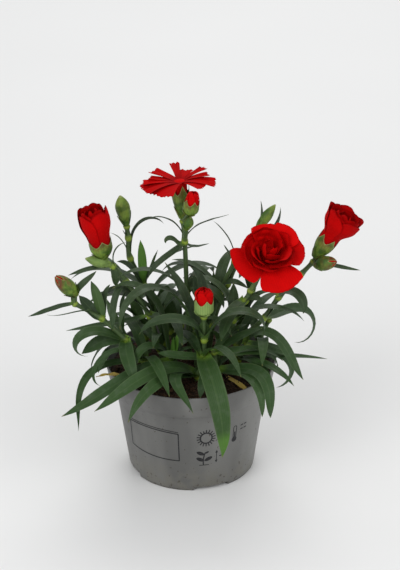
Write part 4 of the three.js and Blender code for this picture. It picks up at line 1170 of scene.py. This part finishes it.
def bloom_rosette(skin, head, random):
    """A double flower: broad outer petals spread flat round a bowl of wound inner ones."""
    size, foot = head["size"], (0.8 * cup_neck(head), 0)
    add_core(skin, head, 0.3 * size, 0.5 * size)
    for heading, long, wide, rise in ROSETTE:
        slope = (rise + 25, rise, rise - 30)
        add_spread(skin, head, random, heading, slope, long * size, wide * size, LOBE, foot, 0.7)
    add_rings(skin, head, random, ROSETTE_RINGS, unlike=0.12)


def bloom_star(skin, head, random):
    """A single flower with narrow toothed petals, spread almost level."""
    size = head["size"]
    foot = (0.4 * cup_neck(head), 0.05 * size)
    add_core(skin, head, 0.2 * size, 0.1 * size)
    for heading, long, wide, *slope in STAR:
        add_spread(skin, head, random, heading, slope, long * size, wide * size, WEDGE, foot, 0.8)


BLOOMS = {
    "tip": bloom_tip, "bud": bloom_bud, "cup": bloom_cup, "rosette": bloom_rosette,
    "star": bloom_star,
}

# ---------------------------------------------------------------- pot and soil

def add_pot(skin):
    """The pot as one turned wall with soft edges, notched along the edge of its underside."""
    neck, wall, edge = NECK_HEIGHT, POT.wall, POT.edge
    outer, inner, drop = POT.lip
    profile = [
        (POT.base_radius - POT.notch_depth, 0), (POT.base_radius - edge, 0), (POT.base_radius, edge),
        *((pot_radius(z), z) for z in (POT.notch_height, POT.notch_height + edge, *POT.rings)),
        *((POT.neck_radius + r, neck + z) for r, z in POT.shoulder),
        (POT.band_radius - edge, neck), (POT.band_radius, neck + edge),
        *((pot_radius(z), z) for z in (neck + POT.band_ring, POT.height - edge)),
        (POT.rim_radius - outer, POT.height - drop), (POT.rim_radius - wall / 2, POT.height),
        (POT.rim_radius - wall + inner, POT.height - drop),
        (POT.rim_radius - wall, POT.height - edge), (POT.band_radius - wall, neck + wall),
        (POT.neck_radius - wall, neck), (pot_radius(POT.foot_height) - wall, POT.foot_height),
        (POT.base_radius - wall - POT.foot_width, POT.floor),
    ]
    angle = turn_of(POT.sides)
    radius, height = np.repeat(np.array(profile, float).T[..., None], POT.sides, axis=2)
    pitch = 2 * math.pi / POT.notches
    away = (angle - math.radians(POT.first_notch) + pitch / 2) % pitch - pitch / 2
    notched = np.abs(away) * POT.base_radius < POT.notch_width / 2
    roof = [POT.base_radius - POT.notch_depth, POT.base_radius - 2 * edge, pot_radius(edge)]
    for row, reach in enumerate(roof, start=1):
        radius[row, notched] = reach
        height[row, notched] = POT.notch_height
    add_tube(skin, round_points(radius, angle, height), 0, height / POT.height)


def add_soil(skin, random):
    """The block of soil: a crumbly mound over plain sides that follow the pot's inside."""
    angle = turn_of(SOIL.sides)
    neck, foot = NECK_HEIGHT, POT.foot_height + GAP
    sides = [
        (SOIL.foot_middle, POT.floor + GAP),
        (POT.base_radius - POT.wall - POT.foot_width - GAP, POT.floor + GAP),
        (pot_radius(foot) - POT.wall - GAP, foot),
        (POT.neck_radius - POT.wall - GAP, neck - GAP),
        (POT.band_radius - POT.wall - 3 * GAP, neck + POT.wall + 2 * GAP),
    ]
    walls = [round_points(r, angle, z) for r, z in sides]
    edge = pot_radius(SOIL.edge_height) - POT.wall - 2 * GAP
    radius = np.linspace(edge, SOIL.top_middle, SOIL.rings)[:, None]
    x, y = radius * np.cos(angle), radius * np.sin(angle)
    bumps = SOIL.bump * random.standard_normal(x.shape) * np.minimum(1, radius / SOIL.bumpy_from)
    mound = np.stack([x, y, soil_height(x, y) + bumps], axis=-1)
    add_tube(skin, np.concatenate([np.array(walls), mound]), 0)


GOLDEN = (1 + math.sqrt(5)) / 2
LUMP = unit(np.array([
    (-1, GOLDEN, 0), (1, GOLDEN, 0), (-1, -GOLDEN, 0), (1, -GOLDEN, 0), (0, -1, GOLDEN),
    (0, 1, GOLDEN), (0, -1, -GOLDEN), (0, 1, -GOLDEN), (GOLDEN, 0, -1), (GOLDEN, 0, 1),
    (-GOLDEN, 0, -1), (-GOLDEN, 0, 1),
]))
LUMP_FACES = np.array([
    (0, 11, 5), (0, 5, 1), (0, 1, 7), (0, 7, 10), (0, 10, 11), (1, 5, 9), (5, 11, 4),
    (11, 10, 2), (10, 7, 6), (7, 1, 8), (3, 9, 4), (3, 4, 2), (3, 2, 6), (3, 6, 8),
    (3, 8, 9), (4, 9, 5), (2, 4, 11), (6, 2, 10), (8, 6, 7), (9, 8, 1),
]).tolist()


def add_crumbs(skin, random):
    """Crumbs and bits of bark that lie half sunk in the soil's surface."""
    smallest, largest = CRUMB.sizes
    for _ in range(CRUMB.count):
        r, a = CRUMB.spread * math.sqrt(random.uniform()), random.uniform(0, 2 * math.pi)
        x, y = r * math.cos(a), r * math.sin(a)
        size = smallest + (largest - smallest) * random.uniform() ** 3
        stretch = np.array([random.uniform(*span) for span in CRUMB.stretches])
        lump = LUMP * (1 + CRUMB.lumpy * random.standard_normal((len(LUMP), 1))) * stretch * size
        turn = random.uniform(0, 2 * math.pi)
        c, s = math.cos(turn), math.sin(turn)
        lump = lump @ np.array([[c, s, 0], [-s, c, 0], [0, 0, 1]])
        place = np.array([x, y, soil_height(x, y) + CRUMB.out * size])
        skin.add(lump + place, LUMP_FACES, 0, 0.0, 0.0, random.uniform(0, 1), 0.0)


# ---------------------------------------------------------------- prints on the pot

INK = SimpleNamespace(proud=0.05, thick=0.04, fine=0.5, dash=0.7, line=0.74, bold=0.9)


def on_pot(u, v, centre, proud):
    """Points of the pot's side: u runs round it from the centre angle, v is the height."""
    a = np.radians(centre) + u / POT.neck_radius
    r = pot_radius(v) + proud
    return np.stack([r * np.sin(a), -r * np.cos(a), v], axis=-1)


def add_print(skin, u, v, centre):
    """A printed patch over a grid of places on the pot's side."""
    add_blade(skin, on_pot(u, v, centre, INK.proud), INK.thick, INK.thick, 0, 0.0, 0.0, 0.0)


def add_stroke(skin, points, width, centre, closed=False):
    """A printed line through points (u, v), as a thin strip on the pot's side."""
    points = np.array(points, float)
    if closed:
        points = np.vstack([points, points[:1]])
    distance = lengths_along(points)
    at = np.unique(np.concatenate([distance, np.arange(0, distance[-1], 1.0)]))
    line = np.column_stack([np.interp(at, distance, points[:, k]) for k in (0, 1)])
    along = unit(np.gradient(line, axis=0))
    side = np.column_stack([-along[:, 1], along[:, 0]]) * width / 2
    edges = np.stack([line - side, line, line + side], axis=1)
    add_print(skin, edges[..., 0], edges[..., 1], centre)


def add_patch(skin, outline, middle, centre):
    """A printed solid shape: a fan of rings from its outline to its middle."""
    shares = np.array([1, 0.66, 0.33, 0.02])[:, None, None]
    rings = np.array(middle) + (np.array(outline, float) - middle) * shares
    rings = np.concatenate([rings, rings[:, :1]], axis=1)
    add_print(skin, rings[..., 0], rings[..., 1], centre)


def ellipse(u, v, across, high, tilt=0.0, count=24):
    a = turn_of(count)
    x, y = across * np.cos(a), high * np.sin(a)
    c, s = math.cos(math.radians(tilt)), math.sin(math.radians(tilt))
    return np.column_stack([u + c * x - s * y, v + s * x + c * y])


def bow(u0, v0, u1, v1, bulge, count=8):
    """Points from one place to another along an arc that bulges to the left of the way."""
    t = np.linspace(0, 1, count)
    u, v = u0 + (u1 - u0) * t, v0 + (v1 - v0) * t
    long = math.hypot(u1 - u0, v1 - v0)
    off = 4 * bulge * t * (1 - t) / long
    return np.column_stack([u - (v1 - v0) * off, v + (u1 - u0) * off])


def print_frame(skin):
    """An empty frame with a bowed top and foot, its top line doubled."""
    centre, half, low, high = -33, 18.5, 23, 43.2
    lean, lift, foot_bow, top_bow, double = 2.2, 1.6, -0.6, -0.9, 1.3
    corners = [
        bow(-half, high, -half - lean, low + lift, 0),
        bow(-half - lean, low + lift, half, low, foot_bow),
        bow(half, low, half, high, 0), bow(half, high, -half, high, top_bow),
    ]
    outline = np.vstack([line[:-1] for line in corners])
    add_stroke(skin, outline, INK.line, centre, closed=True)
    add_stroke(skin, bow(half, high + double, -half, high + double, top_bow), INK.fine, centre)


def print_sun(skin):
    """A ring of short broad rays round a circle."""
    centre, height, radius, start, reach, rays = 11.4, 40, 3.8, 4.2, 6.2, 18
    disc = ellipse(0, height, radius, radius, count=2 * rays)
    add_stroke(skin, disc, INK.bold, centre, closed=True)
    for k in range(rays):
        a = 2 * math.pi * (k + 0.5) / rays
        ends = [(r * math.cos(a), height + r * math.sin(a)) for r in (start, reach)]
        add_stroke(skin, ends, INK.dash, centre)


def print_seedling(skin):
    """A shoot with two pairs of leaves on a line of ground."""
    centre, foot, half, tall, slim, tilt = 10.2, 19.6, 3.4, 9.5, 0.46, 24
    add_stroke(skin, bow(-half, foot, half, foot, 0), INK.fine, centre)
    add_stroke(skin, bow(-0.4, foot, 0.6, foot + tall, 0.6), 0.85, centre)
    for side, length, height in ((-1, 2.9, 4.4), (1, 2.9, 4.4), (-1, 2.8, 9), (1, 1.5, 9.4)):
        middle = (0.1 + (0.3 + 0.85 * length) * side, foot + height)
        add_patch(skin, ellipse(*middle, length, slim * length, tilt * side), middle, centre)


def print_height(skin):
    """A height arrow with a short dash beside it."""
    centre, low, high, half, long, dash_height = 20.6, 20.2, 29.8, 0.95, 2, 25
    add_stroke(skin, [(0, low + 1), (0, high - 1)], INK.fine, centre)
    for tip, way in ((low, 1), (high, -1)):
        head = [(0, tip), (-half, tip + long * way), (half, tip + long * way)][::way]
        add_patch(skin, head, (0, tip + 1.4 * way), centre)
    add_stroke(skin, bow(2, dash_height, 4.8, dash_height, 0), INK.dash, centre)


def print_thermometer(skin):
    """A bulb with a tube, a column in it, and two rows of short dashes for a range."""
    centre, low, high, width, bulb, column = 36, 34.4, 44.2, 1.15, 2.0, 5.6
    add_patch(skin, ellipse(0, low, bulb, bulb), (0, low), centre)
    cap = ellipse(0, high - width, width, width)[::-1]
    tube = np.vstack([
        [(-width, low + 1.6), (-width, high - width)], cap[len(cap) // 2:], [(width, low + 1.6)],
    ])
    add_stroke(skin, tube, INK.fine, centre)
    add_stroke(skin, [(0, low), (0, low + column)], 1.0, centre)
    for height in (40.2, 43):
        for start in (4.4, 7.4):
            add_stroke(skin, bow(start, height, start + 2.2, height + 0.2, 0), 0.8, centre)


def add_prints(skin):
    """Plain care pictures: a frame, sun, seedling, height and warmth."""
    for draw in (print_frame, print_sun, print_seedling, print_height, print_thermometer):
        draw(skin)


# ---------------------------------------------------------------- materials

def paint(red, green, blue):
    """A display colour, 0 to 255, as linear light."""
    values = np.array([red, green, blue]) / 255
    linear = np.where(values <= 0.04045, values / 12.92, ((values + 0.055) / 1.055) ** 2.4)
    return (*linear.tolist(), 1.0)


class Shade:
    """A material's node tree round its Principled shader, and its colour as mixed so far."""

    def __init__(self, name, roughness, specular):
        self.material = bpy.data.materials.new(name)
        self.material.use_nodes = True
        self.tree = self.material.node_tree
        self.shader = self.tree.nodes["Principled BSDF"]
        self.shader.inputs["Roughness"].default_value = roughness
        self.shader.inputs["Specular IOR Level"].default_value = specular
        self.place = self.node("ShaderNodeTexCoord").outputs["Object"]
        self.colour = None

    def node(self, kind, **settings):
        node = self.tree.nodes.new(kind)
        for key, value in settings.items():
            setattr(node, key, value)
        return node

    def put(self, value, socket):
        """Links an output to a socket, or sets a plain value on it."""
        if isinstance(value, bpy.types.NodeSocket):
            self.tree.links.new(value, socket)
        else:
            socket.default_value = value

    def marks(self, *names):
        nodes = [self.node("ShaderNodeAttribute", attribute_name=name) for name in names]
        return [node.outputs["Fac"] for node in nodes]

    def level(self):
        """Height above the ground in metres."""
        parts = self.node("ShaderNodeSeparateXYZ")
        self.put(self.place, parts.inputs["Vector"])
        return parts.outputs["Z"]

    def noise(self, scale, detail=3.0, stretch=None):
        """Noise from 0 to 1; scale is in features for each metre."""
        vector = self.place
        if stretch:
            mapping = self.node("ShaderNodeMapping")
            mapping.inputs["Scale"].default_value = stretch
            self.put(self.place, mapping.inputs["Vector"])
            vector = mapping.outputs["Vector"]
        noise = self.node("ShaderNodeTexNoise")
        self.put(vector, noise.inputs["Vector"])
        noise.inputs["Scale"].default_value = scale
        noise.inputs["Detail"].default_value = detail
        return noise.outputs["Fac"]

    def math(self, operation, *values):
        node = self.node("ShaderNodeMath", operation=operation)
        for value, socket in zip(values, node.inputs):
            self.put(value, socket)
        return node.outputs[0]

    def between(self, value, low, high):
        """0 where value is at or under low and 1 at or over high, or the other way round."""
        node = self.node("ShaderNodeMapRange", interpolation_type="SMOOTHSTEP")
        rises = low < high
        settings = {
            "Value": value, "From Min": min(low, high), "From Max": max(low, high),
            "To Min": 0.0 if rises else 1.0, "To Max": 1.0 if rises else 0.0,
        }
        for name, setting in settings.items():
            self.put(setting, node.inputs[name])
        return node.outputs["Result"]

    def lines(self, position, count, jitter=0.0):
        """Lines from 0 to 1 across a mark, count of them for each unit of it."""
        turn = self.math("MULTIPLY", position, 2 * math.pi * count)
        if jitter:
            turn = self.math("ADD", turn, self.math("MULTIPLY", self.noise(90), jitter))
        return self.math("MULTIPLY_ADD", self.math("SINE", turn), 0.5, 0.5)

    def mix(self, share, a, b):
        node = self.node("ShaderNodeMix", data_type="RGBA")
        for name, value in {"Factor": share, "A": a, "B": b}.items():
            self.put(value, node.inputs[name])
        return node.outputs["Result"]

    def ground(self, share, first, second):
        """Starts the colour: the first paint where share is 0, the second where it is 1."""
        self.colour = self.mix(share, paint(*first), paint(*second))

    def coat(self, mask, share, colour):
        """Lays a paint over the colour, as thick as a share of the mask."""
        self.colour = self.mix(self.math("MULTIPLY", mask, share), self.colour, paint(*colour))

    def finish(self, height, depth, strength, roughness=None):
        """Sets the colour and a bump whose full height stands for depth millimetres."""
        self.put(self.colour, self.shader.inputs["Base Color"])
        if roughness is not None:
            self.put(roughness, self.shader.inputs["Roughness"])
        bump = self.node("ShaderNodeBump")
        bump.inputs["Strength"].default_value = strength
        bump.inputs["Distance"].default_value = depth * MM
        self.put(height, bump.inputs["Height"])
        self.put(bump.outputs["Normal"], self.shader.inputs["Normal"])
        return self.material


def leaf_material():
    """Grey-green wax over parallel veins, paler at the midrib, yellow-green at the root, and paler at
    the rims: partly the leaf's own margin, partly a painted highlight.
    """
    shade = Shade("leaf", 0.5, 0.3)
    along, across, tone, under = shade.marks(*MARKS)
    middle = shade.math("ABSOLUTE", across)
    veins = shade.lines(across, 5.5, 1.2)
    low = shade.between(shade.level(), 0.13, 0.07)
    wax = shade.between(shade.noise(260, 5), 0.45, 0.85)
    rib, rim = shade.between(middle, 0.13, 0.02), shade.between(middle, 0.84, 0.98)
    root, tip = shade.between(along, 0.14, 0.02), shade.between(along, 0.96, 1.0)
    young = shade.between(tone, 1.0, 2.0)
    shade.ground(tone, (38, 54, 33), (54, 75, 38))
    shade.coat(low, 0.6, (46, 82, 28))
    shade.coat(veins, 0.3, (32, 46, 28))
    shade.coat(wax, 0.6, (74, 92, 66))
    shade.coat(rib, 0.12, (104, 126, 80))
    # Paler rims: partly the leaf's own margin, partly a painted highlight along the edges.
    shade.coat(rim, 0.24, (108, 128, 88))
    shade.coat(under, 0.4, (78, 106, 54))
    shade.coat(root, 0.7, (108, 144, 44))
    shade.coat(young, 0.7, (82, 128, 40))
    shade.coat(tip, 0.6, (132, 126, 70))
    rough = shade.math("MULTIPLY_ADD", shade.noise(300), 0.25, 0.42)
    return shade.finish(shade.math("ADD", veins, shade.noise(900, 2)), 0.05, 0.6, rough)


def stem_material():
    """A waxy green stem, yellow-green at its joints, with a little dirt."""
    shade = Shade("stem", 0.5, 0.35)
    [knee] = shade.marks("tone")
    dirt = shade.between(shade.noise(500, 3), 0.62, 0.75)
    shade.ground(shade.noise(220, 4), (54, 74, 42), (80, 102, 58))
    shade.coat(shade.between(knee, 0.3, 1.0), 1, (128, 150, 50))
    shade.coat(dirt, 0.35, (104, 96, 60))
    return shade.finish(shade.noise(700, 3, (1, 1, 0.25)), 0.06, 0.6)


def calyx_material():
    """Ribbed green with a pale edge, tinged brown and purple towards the teeth by its tone."""
    shade = Shade("calyx", 0.5, 0.3)
    along, across, blush = shade.marks("along", "across", "tone")
    ribs = shade.lines(across, 25, 1.0)
    streak = shade.math("MULTIPLY", shade.between(along, 0.25, 0.9), blush)
    patchy = shade.between(shade.noise(420, 4, (1, 1, 0.3)), 0.35, 0.62)
    shade.ground(shade.between(shade.noise(200, 4), 0.36, 0.66), (58, 92, 26), (116, 142, 52))
    shade.coat(shade.between(blush, 0.15, 0.0), 0.75, (142, 168, 98))
    shade.coat(ribs, 0.25, (54, 82, 30))
    shade.coat(streak, patchy, (106, 40, 32))
    shade.coat(shade.between(along, 0.93, 0.98), 0.6, (156, 162, 104))
    return shade.finish(shade.math("ADD", ribs, shade.noise(800)), 0.07, 0.6)


def petal_material():
    """Clear red, with fine veins that fan out from the claw, a velvet surface, and painted shade that
    darkens it towards the claw, deep in the flower.
    """
    shade = Shade("petal", 0.8, 0.05)
    along, across, tone = shade.marks("along", "across", "tone")
    veins = shade.lines(across, 9, 5.0)
    shade.ground(tone, (168, 2, 3), (214, 6, 6))
    shade.coat(shade.between(shade.noise(150, 3), 0.35, 0.7), 0.14, (150, 2, 4))
    shade.coat(veins, 0.1, (132, 0, 4))
    # Painted shade: darker towards the claw, where the petals sit deep in the flower.
    shade.coat(shade.between(along, 0.5, 0.0), 0.5, (96, 0, 4))
    shade.coat(shade.between(along, 0.94, 1.0), 0.45, (112, 2, 5))
    return shade.finish(shade.math("ADD", veins, shade.noise(1400, 3)), 0.05, 0.5)


def pot_material():
    """Grey thermoformed plastic with vertical streaks, partly flow marks and partly painted reflections,
    fine grain and specks of soil.
    """
    shade = Shade("pot plastic", 0.45, 0.4)
    [height] = shade.marks("along")
    streaks_and_reflections = shade.between(shade.noise(32, 3, (1, 1, 0.12)), 0.32, 0.68)
    low, foot = shade.between(height, 0.36, 0.0), shade.between(height, 0.03, 0.0)
    grain = shade.noise(1800, 2)
    dirt = shade.math("ADD", shade.noise(430, 2), shade.math("MULTIPLY", low, 0.07))
    # Vertical streaks: partly flow marks in the plastic, partly painted reflections.
    shade.ground(streaks_and_reflections, (92, 92, 90), (122, 122, 119))
    shade.coat(low, shade.between(shade.noise(150, 5), 0.3, 0.7), (112, 110, 101))
    shade.coat(grain, 0.25, (90, 90, 88))
    shade.coat(shade.between(dirt, 0.69, 0.73), 0.75, (66, 58, 48))
    shade.coat(foot, 0.5, (70, 68, 62))
    rough = shade.math("MULTIPLY_ADD", shade.noise(160, 3), 0.2, 0.36)
    return shade.finish(shade.math("ADD", grain, shade.noise(120, 3)), 0.05, 0.5, rough)


def ink_material():
    """Dark grey print, thin in places."""
    shade = Shade("pot print", 0.6, 0.3)
    shade.ground(shade.between(shade.noise(900, 3), 0.35, 0.75), (30, 30, 32), (50, 50, 52))
    return shade.finish(shade.noise(1500), 0.02, 0.4)


def soil_material():
    """Moist peat: dark brown crumbs, lighter fibres and pale grains."""
    shade = Shade("peat", 0.9, 0.25)
    [crumb] = shade.marks("tone")
    shade.ground(shade.noise(350, 5), (26, 18, 13), (64, 46, 33))
    shade.coat(crumb, 1, (78, 56, 38))
    shade.coat(shade.between(shade.noise(240, 4, (1, 5, 2)), 0.6, 0.68), 0.5, (112, 84, 56))
    shade.coat(shade.between(shade.noise(800, 2), 0.72, 0.76), 1, (168, 156, 138))
    return shade.finish(shade.math("ADD", shade.noise(500, 5), shade.noise(1500, 3)), 0.8, 1.0)


def withered_material():
    """A dry straw-yellow leaf with brown streaks and a brown tip."""
    shade = Shade("withered leaf", 0.75, 0.3)
    along, across = shade.marks("along", "across")
    veins = shade.lines(across, 5, 1.5)
    shade.ground(shade.noise(160, 4), (178, 150, 62), (204, 184, 104))
    shade.coat(veins, 0.3, (150, 116, 52))
    shade.coat(shade.between(shade.noise(330, 4), 0.58, 0.7), 0.7, (112, 76, 36))
    shade.coat(shade.between(along, 0.8, 1.0), 0.7, (120, 88, 48))
    return shade.finish(shade.math("ADD", veins, shade.noise(700, 4)), 0.12, 0.8)


def floor_material():
    """A matte, nearly white tabletop."""
    shade = Shade("tabletop", 0.8, 0.2)
    shade.ground(shade.noise(3, 2), (225, 225, 224), (231, 231, 230))
    return shade.finish(shade.noise(400), 0.02, 0.2)


# ---------------------------------------------------------------- pieces

def add_plant():
    """Every leafy stem with its leaves and calyces, and every bloom."""
    greens = [leaf_material(), stem_material(), calyx_material()]
    petal = petal_material()
    leaves = place_leaves()
    for number, stem in enumerate(STEMS):
        random = np.random.default_rng(SEEDS.stems + number)
        skin = Skin()
        add_stem(skin, stem, 1)
        for grown in leaves:
            if grown["stem"] == stem["name"]:
                add_leaf(skin, grown, 0, random)
        for head in stem.get("heads", []):
            add_calyx(skin, stem, head, 2, 1, random)
        title = stem["name"].replace("stem_", "stalk_").replace("shoot_", "leafy_")
        add_object(title, skin, greens, [stem["name"]])
        for head in stem.get("heads", []):
            if "bloom" in head:
                bloom = Skin()
                BLOOMS[head["bloom"]](bloom, head, random)
                title = head["name"].replace("petals_", "bloom_")
                add_object(title, bloom, [petal], [head["name"]])


def add_withered():
    """The two dry leaves, more curled than the living ones."""
    material = withered_material()
    for number, leaf in enumerate(WITHERED):
        skin = Skin()
        add_leaf(skin, leaf, 0, np.random.default_rng(SEEDS.withered + number), crisp=0.5)
        title = leaf["name"].replace("withered_", "dry_")
        add_object(title, skin, [material], [leaf["name"]])


def add_pot_and_soil():
    """The pot, the prints on it and the soil, whose crumbs keep their sharp edges."""
    pot, prints, soil = Skin(), Skin(), Skin()
    add_pot(pot)
    add_object("nursery_pot", pot, [pot_material()], ["pot"], sharp=40)
    add_prints(prints)
    add_object("pot_prints", prints, [ink_material()], [])
    random = np.random.default_rng(SEEDS.soil)
    add_soil(soil, random)
    add_crumbs(soil, random)
    add_object("potting_soil", soil, [soil_material()], ["soil"], sharp=70)


# ---------------------------------------------------------------- stage

def place_object(name, data):
    """Puts an object that is no piece of the plant into the scene."""
    placed = bpy.data.objects.new(name, data)
    bpy.context.collection.objects.link(placed)
    return placed


def add_floor():
    half = STAGE.floor / 2
    corners = [(-half, -half, 0), (half, -half, 0), (half, half, 0), (-half, half, 0)]
    mesh = bpy.data.meshes.new("tabletop")
    mesh.from_pydata(corners, [], [(0, 1, 2, 3)])
    mesh.materials.append(floor_material())
    place_object("tabletop", mesh)


def add_lights():
    """An even sky, and square soft lights that face the middle of the plant."""
    world = bpy.data.worlds.new("studio")
    bpy.context.scene.world = world
    world.use_nodes = True
    sky = world.node_tree.nodes["Background"]
    sky.inputs["Color"].default_value = STAGE.sky
    sky.inputs["Strength"].default_value = STAGE.sky_strength
    middle = Vector((0, 0, CAMERA.target * MM))
    for name, place, size, power in LIGHTS:
        lamp = bpy.data.lights.new(name, "AREA")
        lamp.size, lamp.energy = size, power
        light = place_object(name, lamp)
        light.location = place
        light.rotation_euler = (middle - light.location).to_track_quat("-Z", "Y").to_euler()


def add_camera():
    data = bpy.data.cameras.new("camera")
    data.sensor_width = STAGE.sensor
    data.lens = CAMERA.focal / FRAME_HIGH * data.sensor_width
    data.shift_x = CAMERA.shift / FRAME_HIGH
    data.clip_start, data.clip_end = STAGE.clip
    camera = place_object("camera", data)
    rise = math.radians(CAMERA.elevation)
    back, up = math.cos(rise), math.sin(rise)
    target = Vector((0, 0, CAMERA.target * MM))
    camera.location = target + Vector((0, -back, up)) * CAMERA.distance * MM
    turn = (target - camera.location).to_track_quat("-Z", "Y")
    turn = turn.to_matrix() @ Matrix.Rotation(-CAMERA.roll, 3, "Z")
    camera.rotation_euler = turn.to_euler()
    bpy.context.scene.camera = camera
    bpy.context.scene.view_settings.view_transform = "Standard"


add_pot_and_soil()
add_plant()
add_withered()
add_floor()
add_lights()
add_camera()
